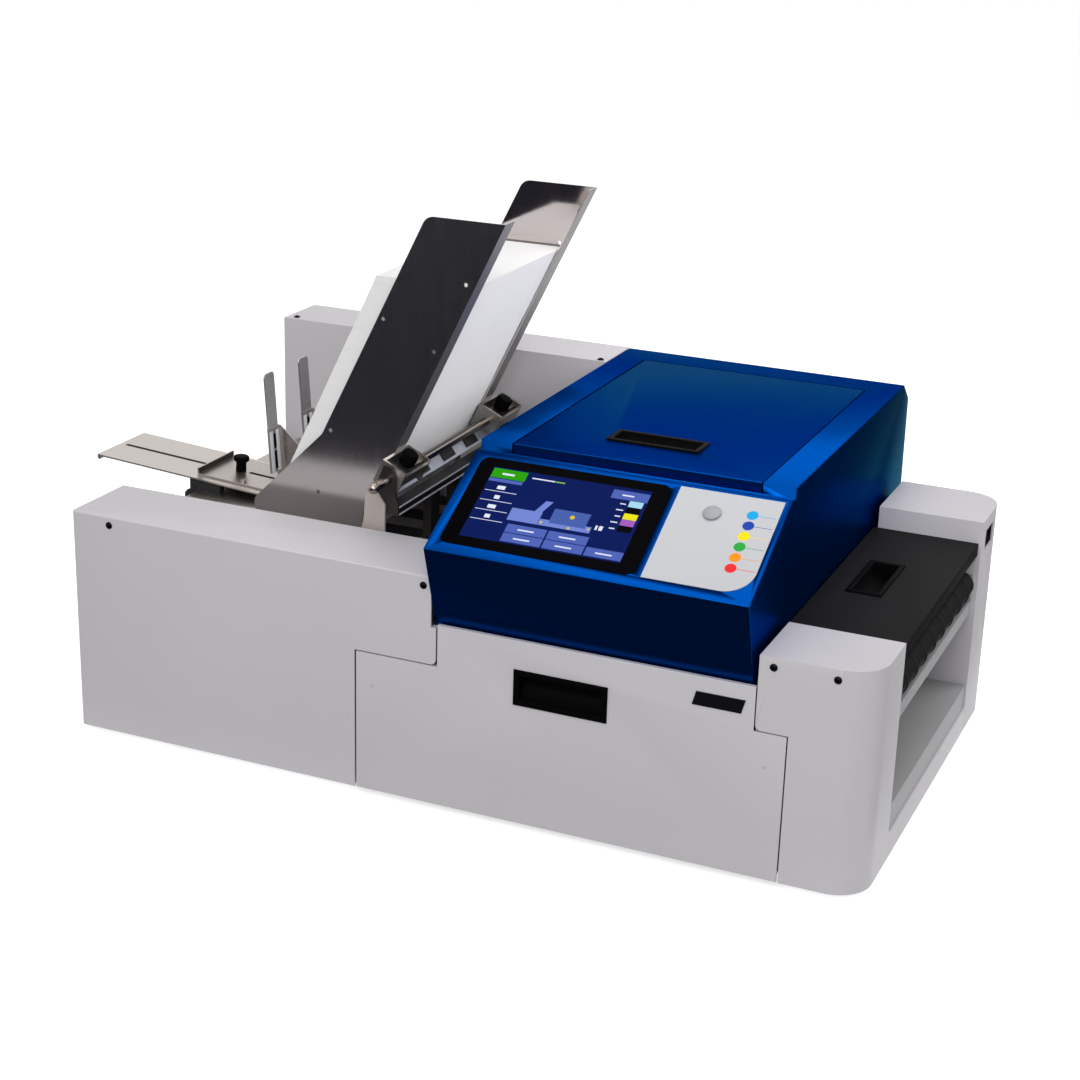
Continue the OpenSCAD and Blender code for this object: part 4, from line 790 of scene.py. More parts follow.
@dataclass
class Console(SubAssembly):
    """Touchscreen and key panel on the sloping front of the head.

    Attributes:
        origin: Lower left corner of the slope.
        slope: Its angle from level.
        face: Height of the glass and of the film above the slope.
        gap: Height of the lowest layer above that face.
        layer: Thickness of one layer of the picture.
        screen: Lower left corner of the lit area on the slope.
        size: Width and height of the lit area.
        bar_x: Left side of the column of colour bars, in the lit area.
        bar_size: Width and height of a bar.
        bars: Name, tone, colour and lower sides of the bars.
        lamp_x: Middle of the column of status marks.
        lamp_y: Lowest and highest mark.
        lamp_r: Radius of a mark.
        lead: Length and width of the line beside a mark.
        lead_gap: Distance of that line from the mark.
        marks: Name and colour of the marks, from below.
        button: Middle of the power button.
        ring_r: Outer and inner radius of the ring round it.
        ring_h: Height of that ring.
        ring_steps: Sides that the ring is drawn with.
    """

    finishes: ClassVar[Wear] = {
        SCREEN_GLASS: ("touchscreen_glass",),
        SCREEN_BODY: ("display_panel",),
        KEY_FILM: ("membrane_panel",),
        BUTTON_CAP: ("power_button",),
    }

    origin: Point = (450.0, -22.6, 301.0)
    slope: float = 29.501
    face: float = 0.5
    gap: float = 0.01
    layer: float = 0.04
    screen: Spot = (30.25, 25.25)
    size: Spot = (177.5, 99.5)
    bar_x: float = 159.0
    bar_size: Spot = (15.0, 8.2)
    bars: tuple[tuple[str, str, str, tuple[float, ...]], ...] = (
        ("pale", "cyan", "#a9dcf2", (74.4,)),
        ("black", "black", "#05060c", (65.8, 40.0)),
        ("yellow", "yellow", "#f0e81c", (57.2,)),
        ("purple", "purple", "#a55fc0", (48.6,)),
    )
    lamp_x: float = 317.8
    lamp_y: Spot = (43.2, 115.2)
    lamp_r: float = 6.0
    lead: Spot = (18.0, 0.6)
    lead_gap: float = 0.4
    marks: tuple[tuple[str, str], ...] = (
        ("red", "#e02c30"), ("orange", "#ef8c1e"), ("green", "#2c9c3e"),
        ("yellow", "#efd116"), ("blue", "#1f3fa0"), ("cyan", "#1f9bd8"),
    )
    button: Spot = (277.0, 109.0)
    ring_r: Spot = (10.2, 9.4)
    ring_h: float = 0.25
    ring_steps: int = 48

    def sheet(self, name: str, finish: Finish, level: int, outlines: Sequence[Outline]) -> None:
        """Lays flat shapes on the slope as one piece.

        Args:
            name: The piece's name.
            finish: What it is made of.
            level: Which layer it lies in, from 0.
            outlines: The shapes, in the slope's own frame.
        """
        shape = Shape(local(self.origin, "X", self.slope))
        low = self.face + self.gap + level * self.layer
        for outline in outlines:
            shape.prism(outline, low, low + self.layer)
        shape.piece(name, "chassis", finish)

    def on_screen(self, x: float, y: float, w: float, h: float) -> list[Spot]:
        """Rectangle in the lit area, measured from its lower left corner."""
        return soft_rect(self.screen[0] + x, self.screen[1] + y, w, h)

    def picture(self) -> None:
        """Builds the screen's plain picture: fields, blocks and lines, with no words.

        Each box is given by its left and lower side, width and height in the lit area.
        """
        box = self.on_screen
        sx, sy = self.screen
        column, row, entry = 46, 12.5, 13.5
        grid = [(column * i, row * j) for i in range(2) for j in range(2)]
        self.sheet("screen_field", lit("navy", "#0b1c5c"), 0, [box(0, 0, *self.size)])
        self.sheet("screen_tab", lit("green", "#2ea20c"), 1, [box(0.5, 85, 39, 13)])
        self.sheet(
            "screen_panels", lit("slate_blue", "#5266b8"), 1,
            [box(0.5, 79.5, 38, 4.5), box(137, 83, 40, 12)]
            + [box(45 + right, 14.5 - down, 44, 11.5) for right, down in grid]
            + [box(137, 2, 40, 11.5)],
        )
        hopper = [(sx + x, sy + y) for x, y in ((66, 48), (74, 48), (81, 64), (73, 64))]
        self.sheet(
            "screen_diagram", lit("pale_blue", "#7488d6"), 1,
            [box(41, 31, 34, 17), box(75.5, 31, 57, 8.5), hopper],
        )
        self.sheet("screen_head", lit("mid_blue", "#4a61ad"), 2, [box(86, 36, 40, 20)])
        self.sheet(
            "screen_lines", lit("white", "#e8ecff"), 2,
            [box(2, 66 - entry * i, 36, 0.7) for i in range(4)]
            + [box(14 + 2 * (i % 2), 69.5 - entry * i, 9 - 3 * (i % 2), 5.0) for i in range(4)]
            + [box(12, 90, 14, 2.6), box(46, 91, 26, 1.6)]
            + [box(58 + right, 19 - down, 18, 1.8) for right, down in grid]
            + [box(148, 6.5, 18, 1.8), box(148, 88, 13, 1.8)]
            + [box(150 - 1.5 * (i % 2), 42 + 8.6 * i, 6 + 1.5 * (i % 2), 1.5) for i in range(5)]
            + [box(136, 37, 2.2, 6.0), box(140, 37, 4.0, 6.0)],
        )
        self.sheet("screen_marks", lit("lime", "#86c332"), 2, [box(73, 91, 10, 1.6)])
        spots = ((78, 35, 1.5), (109, 33, 1.6), (108, 48, 2.6), (130, 36, 1.4))
        self.sheet(
            "screen_spots", lit("amber", "#e3c81c"), 3,
            [disc(sx + x, sy + y, r, steps=16) for x, y, r in spots],
        )
        for name, tone, colour, heights in self.bars:
            outlines = [box(self.bar_x, y, *self.bar_size) for y in heights]
            self.sheet(f"screen_{name}_bar", lit(tone, colour), 2, outlines)

    def keys(self) -> None:
        """Builds the ring round the power button and the column of plain status marks."""
        ring = Shape(local(self.origin, "X", self.slope))
        outer, inner = (disc(*self.button, r, self.ring_steps) for r in self.ring_r)
        low, high = self.face, self.face + self.ring_h
        loops = ((outer, low), (outer, high), (inner, high), (inner, low))
        ring.loft([[(x, y, z) for x, y in loop] for loop, z in loops], hollow=True)
        ring.piece("button_ring", "chassis", BUTTON_CAP)
        step = (self.lamp_y[1] - self.lamp_y[0]) / (len(self.marks) - 1)
        long, wide = self.lead
        for i, (name, colour) in enumerate(self.marks):
            y = self.lamp_y[0] + i * step
            line = soft_rect(self.lamp_x + self.lamp_r + self.lead_gap, y - 0.5 * wide, long, wide)
            self.sheet(f"status_mark_{name}", ink(name, colour), 0, [disc(self.lamp_x, y, self.lamp_r), line])

    def build(self) -> None:
        """Builds the picture and the key panel's marks."""
        self.picture()
        self.keys()


@dataclass
class Envelopes(SubAssembly):
    """Pile of envelopes between the side guides, one thin body for each.

    Attributes:
        foot: Right-hand edge of the pile at a known height, and that height.
        lean: The guides' lean from upright.
        clear: Distance kept from the flanges.
        bottom: Height of the lowest envelope.
        top: Height of the highest one.
        pitch: Thickness of one filled envelope.
        fill: Share of the pitch that its paper takes up.
        size: Length along the path and across it.
        corner: Radius of an envelope's corners.
        edge: How far its faces stand in from its edges.
        front: Front edge of the pile.
        batch: Fewest and most envelopes that were put in together.
        slip: Least and most that a batch lies to the right.
        drift: Least and most that a batch lies to the rear.
        wave: Depth of the slow wave up the pile's side, and its turn at each envelope in radians.
        flap_in: How far the top envelope's flap lies in from its left edge and from its ends.
        flap_tip: How far the flap's tip reaches, and how far it lies in from the flap's ends.
        flap_bend: The same for the shoulders of the flap.
        flap_z: Lower and upper face of the flap, from the top of the pile.
        seed: Start of the scatter.
    """

    finishes: ClassVar[Wear] = {PAPER: ("envelope_stack",)}

    foot: Spot = (329.3, 335.0)
    lean: float = 25.5
    clear: float = 2.1
    bottom: float = 222.6
    top: float = 535.0
    pitch: float = 1.3
    fill: float = 0.94
    size: Spot = (118.0, 241.0)
    corner: float = 1.2
    edge: float = 0.07
    front: float = 152.5
    batch: tuple[int, int] = (3, 9)
    slip: Spot = (-0.35, 0.0)
    drift: Spot = (-0.3, 0.3)
    wave: Spot = (0.2, 0.07)
    flap_in: Spot = (0.3, 2.0)
    flap_tip: Spot = (58.0, 42.0)
    flap_bend: Spot = (50.0, 26.0)
    flap_z: Spot = (-0.1, 0.25)
    seed: int = 11

    def right(self, z: float) -> float:
        """Right-hand edge of the pile at a height."""
        return self.foot[0] + (z - self.foot[1]) * math.tan(math.radians(self.lean)) - self.clear

    def flap(self, shape: Shape, z: float) -> None:
        """Lays the flap on the top envelope.

        Args:
            shape: The pile.
            z: Height of the pile's top.
        """
        x = self.right(z) - self.size[0] + self.flap_in[0]
        y0 = self.front + self.flap_in[1]
        y1 = self.front + self.size[1] - self.flap_in[1]
        (tip, tip_in), (bend, bend_in) = self.flap_tip, self.flap_bend
        outline = [
            (x + tip, y0 + tip_in), (x + tip, y1 - tip_in), (x + bend, y1 - bend_in),
            (x, y1), (x, y0), (x + bend, y0 + bend_in),
        ]
        shape.prism(outline, z + self.flap_z[0], z + self.flap_z[1])

    def build(self) -> None:
        """Builds the pile, a little uneven, and the flap on the top envelope."""
        scatter = random.Random(self.seed)
        shape = Shape()
        count = int((self.top - self.bottom) / self.pitch)
        long, wide = self.size
        depth, turn = self.wave
        left, slip, drift = 0, 0.0, 0.0
        for i in range(count):
            low = self.bottom + i * self.pitch
            high = low + self.fill * self.pitch
            if left == 0:
                left = scatter.randint(*self.batch)
                slip, drift = scatter.uniform(*self.slip), scatter.uniform(*self.drift)
            left -= 1
            x1 = self.right(low) + slip - depth + depth * math.sin(turn * i)
            outline = soft_rect(x1 - long, self.front + drift, long, wide, self.corner, steps=2)
            thin = drawn_in(outline, self.edge)
            mid = 0.5 * (low + high)
            shape.loft([
                [(x, y, z) for x, y in points]
                for points, z in ((thin, low), (outline, mid), (thin, high))
            ])
        self.flap(shape, self.bottom + count * self.pitch)
        shape.piece("envelope_pile", "stack", PAPER, "envelope_stack")


@dataclass
class Hopper(SubAssembly):
    """Side guides with their clamps, the rod, the gate and the belt feed.

    Attributes:
        rod: Place of the guide rod.
        knob_lean: Angle of the clamping screws from upright.
        knob_y: Middle of each clamping screw, front and rear.
        knob_forms: Screw, collar and fluted cap of a knob, measured from the rod.
        lean: The guides' lean from upright.
        fold_foot: Right-hand face of a guide's folded edge at a known height, and that height.
        fold_z: Heights between which that edge is painted darker.
        fold_y: Front side of that strip on each guide.
        fold_w: Width of the strip.
        fold_x: Inner and outer face of the strip, from the folded edge.
        beam_x: Right-hand face of the beam.
        beam_y: Ends of the beam between its end plates.
        beam_z: Lower and upper edge of the beam.
        edge_x: Inner and outer face of a painted highlight along the beam, from the beam's face.
        edge_h: Height of such a highlight.
        edge_ease: Bevel round such a highlight.
    """

    finishes: ClassVar[Wear] = {
        STAINLESS: ("front_guide",),
        STAINLESS_MIRROR: ("rear_guide",),
        DARK_NICKEL: ("front_clamp", "rear_clamp"),
        STAINLESS_FLAT: ("feeder_table",),
        OILED_STEEL: ("guide_rod",),
        FRAME_COAT: ("feeder_frames",),
        GATE_COAT: ("gate_strip",),
        BURNISHED: ("separator_beam",),
        BLACK_COAT: ("feed_deck",),
        BLACK_ABS: ("front_clamp_knob", "rear_clamp_knob"),
        RUBBER: ("feed_belts", "feed_roller", "feed_idler"),
    }

    rod: Spot = (339.0, 318.0)
    knob_lean: float = 27.0
    knob_y: Spot = (147.5, 398.5)
    knob_forms: tuple[Turning, ...] = (
        Turning(((2.6, 5.3), (3.0, 5.7), (3.0, 12.4)), 24),
        Turning(((6.1, 10.3), (6.5, 10.6), (6.5, 12.4)), 36),
        Turning(
            ((8.36, 11.5), (9.5, 12.4), (9.5, 24.6), (8.835, 25.8), (7.6, 26.4), (3.8, 26.5), (0.2, 26.5)),
            144, 24,
        ),
    )
    lean: float = 25.5
    fold_foot: Spot = (329.3, 335.0)
    fold_z: Spot = (345.0, 606.6)
    fold_y: Spot = (145.9, 376.4)
    fold_w: float = 23.7
    fold_x: Spot = (-0.1, 0.3)
    beam_x: float = 352.0
    beam_y: Spot = (116.2, 429.8)
    beam_z: Spot = (278.0, 288.0)
    edge_x: Spot = (-0.2, 0.5)
    edge_h: float = 1.6
    edge_ease: float = 0.2

    def knob(self, name: str, body: str, node: str, y: float) -> None:
        """Builds one fluted knob on its screw.

        Args:
            name: The piece's name.
            body: The CAD body that carries it.
            node: The CAD node that it stands for.
            y: Middle of the screw.
        """
        shape = Shape(local((self.rod[0], y, self.rod[1]), "Y", self.knob_lean))
        for form in self.knob_forms:
            shape.lathe(form)
        shape.piece(name, body, BLACK_ABS, node)

    def dark_reflection_strip(self, name: str, body: str, y: float) -> None:
        """Lays a darker strip on the folded edge of one guide, which paints a darker reflection on it.

        Args:
            name: The piece's name.
            body: The CAD body that carries it.
            y: Front side of the strip.
        """
        shape = Shape()
        run = math.tan(math.radians(self.lean))
        inner, outer = self.fold_x
        rings: list[list[Point]] = []
        for z in self.fold_z:
            x = self.fold_foot[0] + (z - self.fold_foot[1]) * run
            corners = soft_rect(x + inner, y, outer - inner, self.fold_w)
            rings.append([(cx, cy, z) for cx, cy in corners])
        shape.loft(rings)
        # painted reflection: a darker, duller strip over the polished fold
        shape.piece(name, body, DARK_REFLECTION_EDGE)

    def beam_painted_highlights(self) -> None:
        """Paints a highlight along the beam's face, at its upper and at its lower edge."""
        shape = Shape()
        inner, outer = self.edge_x
        long = self.beam_y[1] - self.beam_y[0]
        outline = soft_rect(self.beam_x + inner, self.beam_y[0], outer - inner, long)
        for z in (self.beam_z[0], self.beam_z[1] - self.edge_h):
            shape.prism(outline, z, z + self.edge_h, self.edge_ease)
        # painted highlight: pale strips where the beam's edges catch the light
        shape.piece("beam_edge_painted_highlights", "chassis", PAINTED_HIGHLIGHT)

    def build(self) -> None:
        """Builds the clamping knobs, the painted darker reflection on the guides' folded edges and the
        painted highlights along the beam.
        """
        self.knob("front_fluted_knob", "guide_front_knob", "front_clamp_knob", self.knob_y[0])
        self.knob("rear_fluted_knob", "guide_rear_knob", "rear_clamp_knob", self.knob_y[1])
        self.dark_reflection_strip("front_guide_edge", "guide_front", self.fold_y[0])
        self.dark_reflection_strip("rear_guide_edge", "guide_rear", self.fold_y[1])
        self.beam_painted_highlights()


@dataclass
class Tray(SubAssembly):
    """Slotted tray with its carriage, fingers and clamping knob.

    Attributes:
        origin: Left end of the tray's top.
        tilt: Its fall towards the hopper.
        knob_at: Place of the knob along and across the tray.
        knob_forms: Nut, screw, neck and fluted cap of the knob, measured from the tray's top.
        finger_y: Middle of each finger across the path.
        finger_foot: Place of the fingers' feet along the path, and their height.
        finger_lean: Lean of the fingers to the left.
        bar: Width, height and thickness of a finger's slotted bar.
        bar_top: Height of the bar's rounded top, which stays as it is.
        highlight_in: How far a painted highlight on a bar lies in from its edges.
        highlight_z: Inner and outer side of that highlight, from the bar's face.
        highlight_ease: Bevel round that highlight.
        slots: Lower and upper end of each slot in a bar.
        slot_w: Width of those slots.
        slot_shade_gap: Gap round the black fill that paints shade into a slot.
        slot_shade_in: How far that fill lies in from either face of the bar.
        lip: Right-hand face, front and rear of the carriage's upright lip, on the tray.
        lip_x: Inner and outer side of the painted shade, from the lip's face.
        lip_in: How far the painted shade lies in from the lip's ends.
        lip_z: Its lower and upper edge.
    """

    finishes: ClassVar[Wear] = {
        STAINLESS_FLAT: ("tray_carriage",),
        # the tray wears a paler copy of the carriage's stainless: painted light
        STAINLESS_PAINTED_LIGHTER: ("media_tray",),
        STAINLESS_STRIP: ("support_fingers",),
        BLACK_COAT: ("tray_bracket",),
        BLACK_ABS: ("carriage_knob",),
    }

    origin: Point = (-119.608, 0.0, 248.081)
    tilt: float = 3.75
    knob_at: Spot = (174.17, 273.0)
    knob_forms: tuple[Turning, ...] = (
        Turning(((5.6, -6.3), (6.0, -5.9), (6.0, -2.7), (5.6, -2.3)), 6),
        Turning(((2.3, -6.2), (2.5, -6.0), (2.5, 4.6)), 24),
        Turning(((6.1, 2.6), (6.5, 3.0), (6.2, 9.0), (6.5, 15.4)), 36),
        Turning(
            ((7.6, 14.6), (9.5, 15.8), (9.5, 20.0), (8.93, 21.0), (7.6, 21.5), (3.8, 21.6), (0.2, 21.6)),
            144, 24,
        ),
    )
    finger_y: Spot = (240.0, 321.0)
    finger_foot: Spot = (122.0, 258.0)
    finger_lean: float = 4.0
    bar: Point = (22.0, 55.0, 3.0)
    bar_top: float = 4.0
    highlight_in: float = 0.4
    highlight_z: Spot = (-0.1, 0.35)
    highlight_ease: float = 0.15
    slots: tuple[Spot, Spot] = ((4.0, 26.0), (29.0, 47.0))
    slot_w: float = 7.0
    slot_shade_gap: float = 0.2
    slot_shade_in: float = 0.6
    lip: Point = (139.17, 233.0, 313.0)
    lip_x: Spot = (-0.1, 0.3)
    lip_in: float = 0.3
    lip_z: Spot = (2.7, 9.3)

    def fingers(self) -> None:
        """Paints highlights on the slotted bars' faces and shade into their slots."""
        faces, slot_shades = Shape(), Shape()
        w, h, t = self.bar
        half, gap = 0.5 * w, 0.5 * self.slot_w
        edge, slack = self.highlight_in, self.slot_shade_gap
        for y in self.finger_y:
            # in this frame X runs down the finger and Z out of its right-hand face
            upright = local((self.finger_foot[0], y, self.finger_foot[1]), "Y", -self.finger_lean)
            faces.to = slot_shades.to = upright @ Matrix.Rotation(math.radians(90.0), 4, "Y")
            for side in (-half + edge, gap):
                face = soft_rect(
                    -h + self.bar_top + edge, side, h - self.bar_top - 2 * edge, half - gap - edge,
                )
                faces.prism(face, t + self.highlight_z[0], t + self.highlight_z[1], self.highlight_ease)
            for low, high in self.slots:
                slot_shade_outline = soft_rect(
                    -high + slack, -gap + slack, high - low - 2 * slack, self.slot_w - 2 * slack,
                )
                slot_shades.prism(slot_shade_outline, self.slot_shade_in, t - self.slot_shade_in)
        # painted highlight: pale faces on the bars, where they catch the light
        faces.piece("finger_painted_highlights", "carriage", PAINTED_HIGHLIGHT)
        # painted shade: black fills inside the slots
        slot_shades.piece("finger_slot_painted_shade", "carriage", BLACK_ABS)

    def carriage_lip(self) -> None:
        """Paints shade on the inner side of the carriage's upright lip."""
        x, y0, y1 = self.lip
        inner, outer = self.lip_x
        shape = Shape(local(self.origin, "Y", self.tilt))
        face = soft_rect(x + inner, y0 + self.lip_in, outer - inner, y1 - y0 - 2 * self.lip_in)
        shape.prism(face, *self.lip_z)
        # painted shade: a dark strip over the lip's face
        shape.piece("carriage_lip_painted_shade", "carriage", PAINTED_LIP_SHADE)

    def build(self) -> None:
        """Builds the fingers' painted highlights and slot shade, the painted shade on the lip and the fluted
        knob that clamps the carriage.
        """
        self.fingers()
        self.carriage_lip()
        shape = Shape(local(self.origin, "Y", self.tilt))
        for form in self.knob_forms:
            shape.lathe(form, self.knob_at)
        shape.piece("carriage_fluted_knob", "carriage_screw", BLACK_ABS, "carriage_knob")


@dataclass
class Exit(SubAssembly):
    """Exit cover over the grooved rollers and their round belts.

    Attributes:
        fold: Rounding of the cover's edges.
    """

    finishes: ClassVar[Wear] = {
        CHARCOAL: ("exit_cover",),
        BLACK_ABS: ("exit_grip",),
        LINER: ("exit_frame",),
        ROLLER_RUBBER: ("exit_roller", "exit_drive_roller"),
        RUBBER: ("exit_belts",),
    }

    fold: float = 0.9

    def build(self) -> None:
        """Rounds the edges of the cover and of its grip."""
        eased("exit_cover", "exit_flap", CHARCOAL, self.fold, (Side.TOP, Side.RIGHT))
        eased("exit_grip", "exit_flap", BLACK_ABS, GRIP_EASE, (Side.TOP,))


@dataclass
class Works(SubAssembly):
    """What shows with the lid or the door open, and the mains entry at the rear.

    Attributes:
        tank: Left front corner of the first ink tank's top.
        tank_pitch: Spacing of the tanks.
        tank_tones: Name and colour of each tank's latch.
        latch: Latch plate, measured from that corner.
        rib: First of the ribs on a latch, measured from the same corner.
        ribs: Number and spacing of the ribs.
        board: Lower left corner of the circuit board's top.
        can_at: Middle of the first capacitor on the board.
        cans: Number and spacing of the capacitors.
        can_forms: Form of every third capacitor, and of the others.
        plug: First connector on the board.
        plugs: Number and spacing of the connectors.
        fin: First fin of the first heat sink.
        fins: Number and spacing of the fins on a heat sink.
        sinks: Number and spacing of the heat sinks.
    """

    finishes: ClassVar[Wear] = {
        LINER: ("print_frame",),
        BLACK_ABS: ("printhead", "power_inlet", "power_switch"),
        TANK: ("ink_tanks",),
        RUBBER: ("transport_belt", "transport_roller", "transport_idler"),
        ZINC: ("power_supply",),
        BOARD: ("main_board",),
        BLACK_COAT: ("drive_motor",),
    }

    tank: Point = (515.5, 183.0, 350.0)
    tank_pitch: float = 44.0
    tank_tones: tuple[tuple[str, str], ...] = (
        ("cyan", "#1a8fc4"), ("magenta", "#b02a6a"), ("yellow", "#d9b91a"), ("black", "#141416"),
        ("grey", "#77797d"),
    )
    latch: Plate = Plate((3.0, 6.0), (34.0, 46.0), (-0.3, 1.4), 4.0, 0.6)
    rib: Plate = Plate((9.0, 16.0), (22.0, 2.4), (1.3, 1.9), 1.0, 0.3, 3)
    ribs: tuple[int, float] = (4, 7.0)
    board: Point = (470.0, 34.0, 13.0)
    can_at: Spot = (22.0, 72.0)
    cans: tuple[int, float] = (9, 31.0)
    can_forms: tuple[Turning, Turning] = (
        Turning(((6.0, -0.2), (6.0, 11.0), (5.4, 12.0), (0.4, 11.7)), 24),
        Turning(((4.0, -0.2), (4.0, 11.0), (3.4, 12.0), (0.4, 11.7)), 24),
    )
    plug: Plate = Plate((18.0, 6.0), (26.0, 7.0), (-0.2, 8.0), ease=0.5)
    plugs: tuple[int, float] = (6, 46.0)
    fin: Plate = Plate((20.0, 25.0), (30.0, 2.0), (7.9, 14.0), ease=0.3)
    fins: tuple[int, float] = (6, 5.2)
    sinks: tuple[int, float] = (5, 56.0)

    def tanks(self) -> None:
        """Puts a coloured latch plate on each ink tank."""
        count, step = self.ribs
        x, y, z = self.tank
        for i, (name, colour) in enumerate(self.tank_tones):
            shape = Shape(local((x + i * self.tank_pitch, y, z)))
            self.latch.lay(shape)
            for k in range(count):
                self.rib.lay(shape, back=step * k)
            # moulded ABS, dyed through: an even colour with a half-dull skin
            finish = Finish(f"moulded_abs_{name}", "tank_plastic", colour, 0.4)
            shape.piece(f"tank_latch_{name}", "chassis", finish)

    def electronics(self) -> None:
        """Adds capacitors, connectors and heat sinks to the circuit board."""
        on_board = local(self.board)
        shape = Shape(on_board)
        large, small = self.can_forms
        for i in range(self.cans[0]):
            place = (self.can_at[0] + self.cans[1] * i, self.can_at[1])
            shape.lathe(small if i % 3 else large, place)
        # bare drawn aluminium: a soft pale metal
        shape.piece("board_capacitors", "chassis", Finish("aluminium_can", "zinc_steel", "#9a9ca0", 0.3, 1.0))
        shape = Shape(on_board)
        for i in range(self.plugs[0]):
            self.plug.lay(shape, self.plugs[1] * i)
        # natural nylon: a warm, dull white
        nylon = Finish("moulded_nylon_white", "tank_plastic", "#d8d6cc", 0.5)
        shape.piece("board_connectors", "chassis", nylon)
        shape = Shape(on_board)
        for i in range(self.sinks[0]):
            for k in range(self.fins[0]):
                self.fin.lay(shape, self.sinks[1] * i, self.fins[1] * k)
        shape.piece("board_heat_sinks", "chassis", BLACK_OXIDE)

    def build(self) -> None:
        """Builds the tanks' latches and the board's parts."""
        self.tanks()
        self.electronics()


@dataclass(frozen=True)
class SoftBox:
    """One square soft box.

    Attributes:
        name: The lamp's name.
        place: Its centre in metres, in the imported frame.
        target: The point that it faces.
        size: Its side in metres.
        watts: Its power.
        shine: Whether bright surfaces mirror it.
        spread: Angle that the grid in front of it lets through.
    """

    name: str
    place: Point
    target: Point
    size: float
    watts: float
    shine: bool = True
    spread: float = 180.0

    def build(self) -> None:
        """Hangs the lamp."""
        data = bpy.data.lights.new(self.name, "AREA")
        data.size = self.size
        data.energy = self.watts
        data.spread = math.radians(self.spread)
        obj = bpy.data.objects.new(self.name, data)
        obj.location = self.place
        obj.visible_glossy = self.shine
        facing = Vector(self.target) - Vector(self.place)
        obj.rotation_euler = facing.to_track_quat("-Z", "Y").to_euler()
        bpy.context.scene.collection.objects.link(obj)


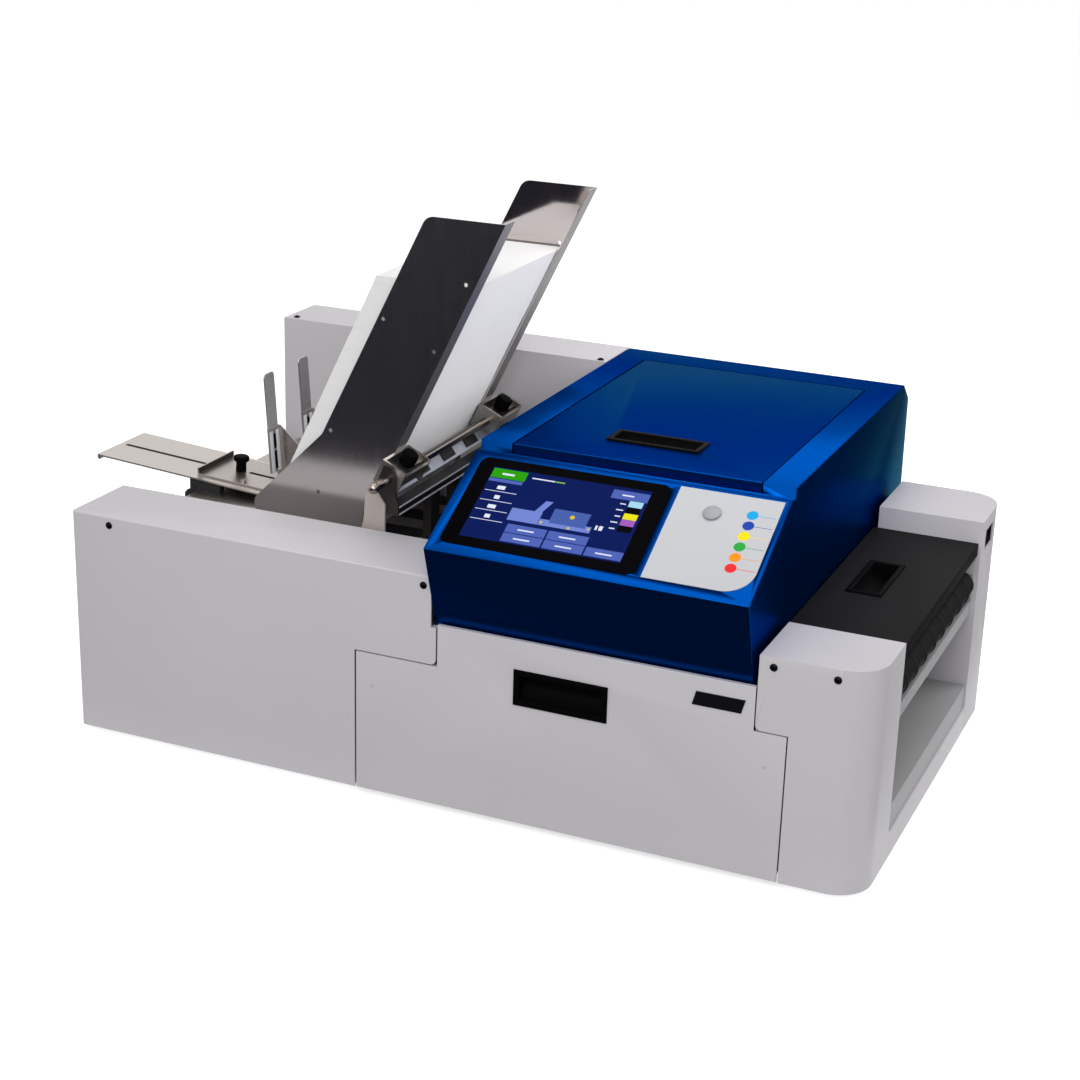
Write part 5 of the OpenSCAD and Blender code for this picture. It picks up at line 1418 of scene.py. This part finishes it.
@dataclass
class Studio:
    """The camera at the photograph's viewing angle, a pale floor and soft lamps.

    Attributes:
        eye: Place of the lens in the machine's frame.
        azimuth: How far the view is turned about the upright axis.
        elevation: How far it looks down.
        roll: How far the picture leans.
        lens_mm: Focal length for a square picture on that film.
        film_mm: Width of the film.
        sight: How far the camera sees, in metres.
        lamps: The soft boxes.
        floor_reach: How far the floor runs to each side, in metres.
        floor_tone: Colour of the floor as it is seen.
        floor_glow: Strength of the white that lifts the floor to the backdrop's.
        floor_dim: Colour of the floor for the light that it throws back.
        cards: Name and two opposite corners, in metres, of the dark cards that only mirrors show.
        felt: Colour of those cards.
        room: Strength of the even light from all round.
    """

    eye: Point = (1344.8, -1827.7, 1039.3)
    azimuth: float = 22.961
    elevation: float = 19.834
    roll: float = 1.717
    lens_mm: float = 69.746
    film_mm: float = 36.0
    sight: float = 50.0
    lamps: tuple[SoftBox, ...] = (
        SoftBox("key_box", (0.6, -2.8, 2.1), (0.0, 0.0, 0.2), 2.2, 58.0),
        SoftBox("top_box", (0.0, 0.0, 2.8), (0.0, 0.0, 0.2), 2.0, 16.0),
        SoftBox("side_box", (2.0, 1.6, 1.3), (0.1, 0.0, 0.3), 2.0, 30.0, shine=False),
        SoftBox("hopper_box", (0.75, -0.25, 0.85), (-0.1, 0.16, 0.36), 0.5, 0.45, shine=False, spread=55.0),
    )
    floor_reach: float = 12.0
    floor_tone: str = "#e6e6e6"
    floor_glow: float = 0.6
    floor_dim: str = "#bdbdbd"
    cards: tuple[tuple[str, Point, Point], ...] = (
        ("flat", (-3.0, -5.0, 0.004), (1.0, -0.32, 0.004)),
        ("side", (0.6, -0.2, 0.004), (3.0, 4.0, 0.004)),
        ("upright", (-3.0, -5.0, 0.0), (1.0, -5.0, 2.4)),
        ("behind", (0.8, 2.4, 0.0), (3.2, 2.4, 1.1)),
    )
    felt: str = "#2b2b33"
    room: float = 0.5

    def camera(self) -> None:
        """Sets the camera."""
        data = bpy.data.cameras.new("camera")
        data.lens = self.lens_mm
        data.sensor_width = self.film_mm
        data.clip_end = self.sight
        cam = bpy.data.objects.new("camera", data)
        turn = (
            Matrix.Rotation(math.radians(self.azimuth), 4, "Z")
            @ Matrix.Rotation(math.radians(90 - self.elevation), 4, "X")
            @ Matrix.Rotation(math.radians(self.roll), 4, "Z")
        )
        cam.matrix_world = Matrix.Translation(at(*self.eye)) @ turn
        bpy.context.scene.collection.objects.link(cam)
        bpy.context.scene.camera = cam

    def card(self, name: str, low: Point, high: Point) -> bpy.types.Object:
        """Puts a flat card on the stage, lying or upright.

        Args:
            name: The card's name.
            low: Its lower left corner in metres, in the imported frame.
            high: The corner opposite.

        Returns:
            The card.
        """
        (x0, y0, z0), (x1, y1, z1) = low, high
        bm = bmesh.new()
        corners = ((x0, y0, z0), (x1, y0, z0), (x1, y1, z1), (x0, y1, z1))
        bm.faces.new([bm.verts.new(c) for c in corners])
        mesh = bpy.data.meshes.new(name)
        bm.to_mesh(mesh)
        bm.free()
        obj = bpy.data.objects.new(name, mesh)
        bpy.context.scene.collection.objects.link(obj)
        return obj

    def seen(self, tree: bpy.types.NodeTree) -> bpy.types.NodeSocket:
        """Tells rays that show a surface to the eye from those that only bring light.

        Args:
            tree: The node tree that asks.

        Returns:
            A socket with 1 for direct rays and those by way of a mirror or through glass, else 0.
        """
        ray = add_node(tree, "ShaderNodeLightPath").outputs
        total = ray["Is Camera Ray"]
        for kind in ("Is Glossy Ray", "Is Transmission Ray"):
            links = {0: total, 1: ray[kind]}
            total = add_node(tree, "ShaderNodeMath", None, links, operation="ADD", use_clamp=True).outputs[0]
        return total

    def floor(self) -> None:
        """Lays a wide pale floor under the feet."""
        reach = self.floor_reach
        obj = self.card("floor", (-reach, -reach, 0.0), (reach, reach, 0.0))
        # matt white paper, which keeps the machine's shadow
        made = bpy.data.materials.new("matt_white_paper_floor")
        tree = fresh_tree(made)
        dim = add_node(tree, "ShaderNodeBsdfDiffuse", {"Color": linear(self.floor_dim)})
        matt = add_node(tree, "ShaderNodeBsdfDiffuse", {"Color": linear(self.floor_tone)})
        glow = add_node(tree, "ShaderNodeEmission", {"Color": linear(WHITE), "Strength": self.floor_glow})
        both = add_node(tree, "ShaderNodeAddShader", None, {0: matt.outputs[0], 1: glow.outputs[0]})
        links = {"Fac": self.seen(tree), 1: dim.outputs[0], 2: both.outputs[0]}
        choice = add_node(tree, "ShaderNodeMixShader", None, links)
        add_node(tree, "ShaderNodeOutputMaterial", None, {"Surface": choice.outputs[0]})
        obj.data.materials.append(made)

    def flags(self) -> None:
        """Puts dark cards round the machine, which only its bright metal and its flake coat show."""
        # black felt: an even dark tone from any side
        black = bpy.data.materials.new("black_felt")
        tree = fresh_tree(black)
        felt = add_node(tree, "ShaderNodeEmission", {"Color": linear(self.felt), "Strength": 1.0})
        add_node(tree, "ShaderNodeOutputMaterial", None, {"Surface": felt.outputs[0]})
        for name, low, high in self.cards:
            card = self.card(f"dark_card_{name}", low, high)
            card.data.materials.append(black)
            card.visible_camera = False
            card.visible_diffuse = False
            card.visible_shadow = False

    def world(self) -> None:
        """Surrounds the scene with even soft light and a white backdrop."""
        world = bpy.data.worlds.new("soft_room")
        bpy.context.scene.world = world
        tree = fresh_tree(world)
        soft = add_node(tree, "ShaderNodeBackground", {"Color": linear(WHITE), "Strength": self.room})
        white = add_node(tree, "ShaderNodeBackground", {"Color": linear(WHITE), "Strength": 1.0})
        links = {"Fac": self.seen(tree), 1: soft.outputs[0], 2: white.outputs[0]}
        choice = add_node(tree, "ShaderNodeMixShader", None, links)
        add_node(tree, "ShaderNodeOutputWorld", None, {"Surface": choice.outputs[0]})

    def build(self) -> None:
        """Sets up the whole studio."""
        self.camera()
        self.floor()
        self.flags()
        self.world()
        for lamp in self.lamps:
            lamp.build()
        bpy.context.scene.view_settings.view_transform = "Standard"


def main() -> None:
    """Builds the studio, dresses every piece and adds the detailed ones."""
    logging.basicConfig(level=logging.INFO, format="%(message)s")
    Studio().build()
    for group in (Covers(), Head(), Console(), Envelopes(), Hopper(), Tray(), Exit(), Works()):
        group.dress()
        group.build()


if __name__ == "__main__":
    main()
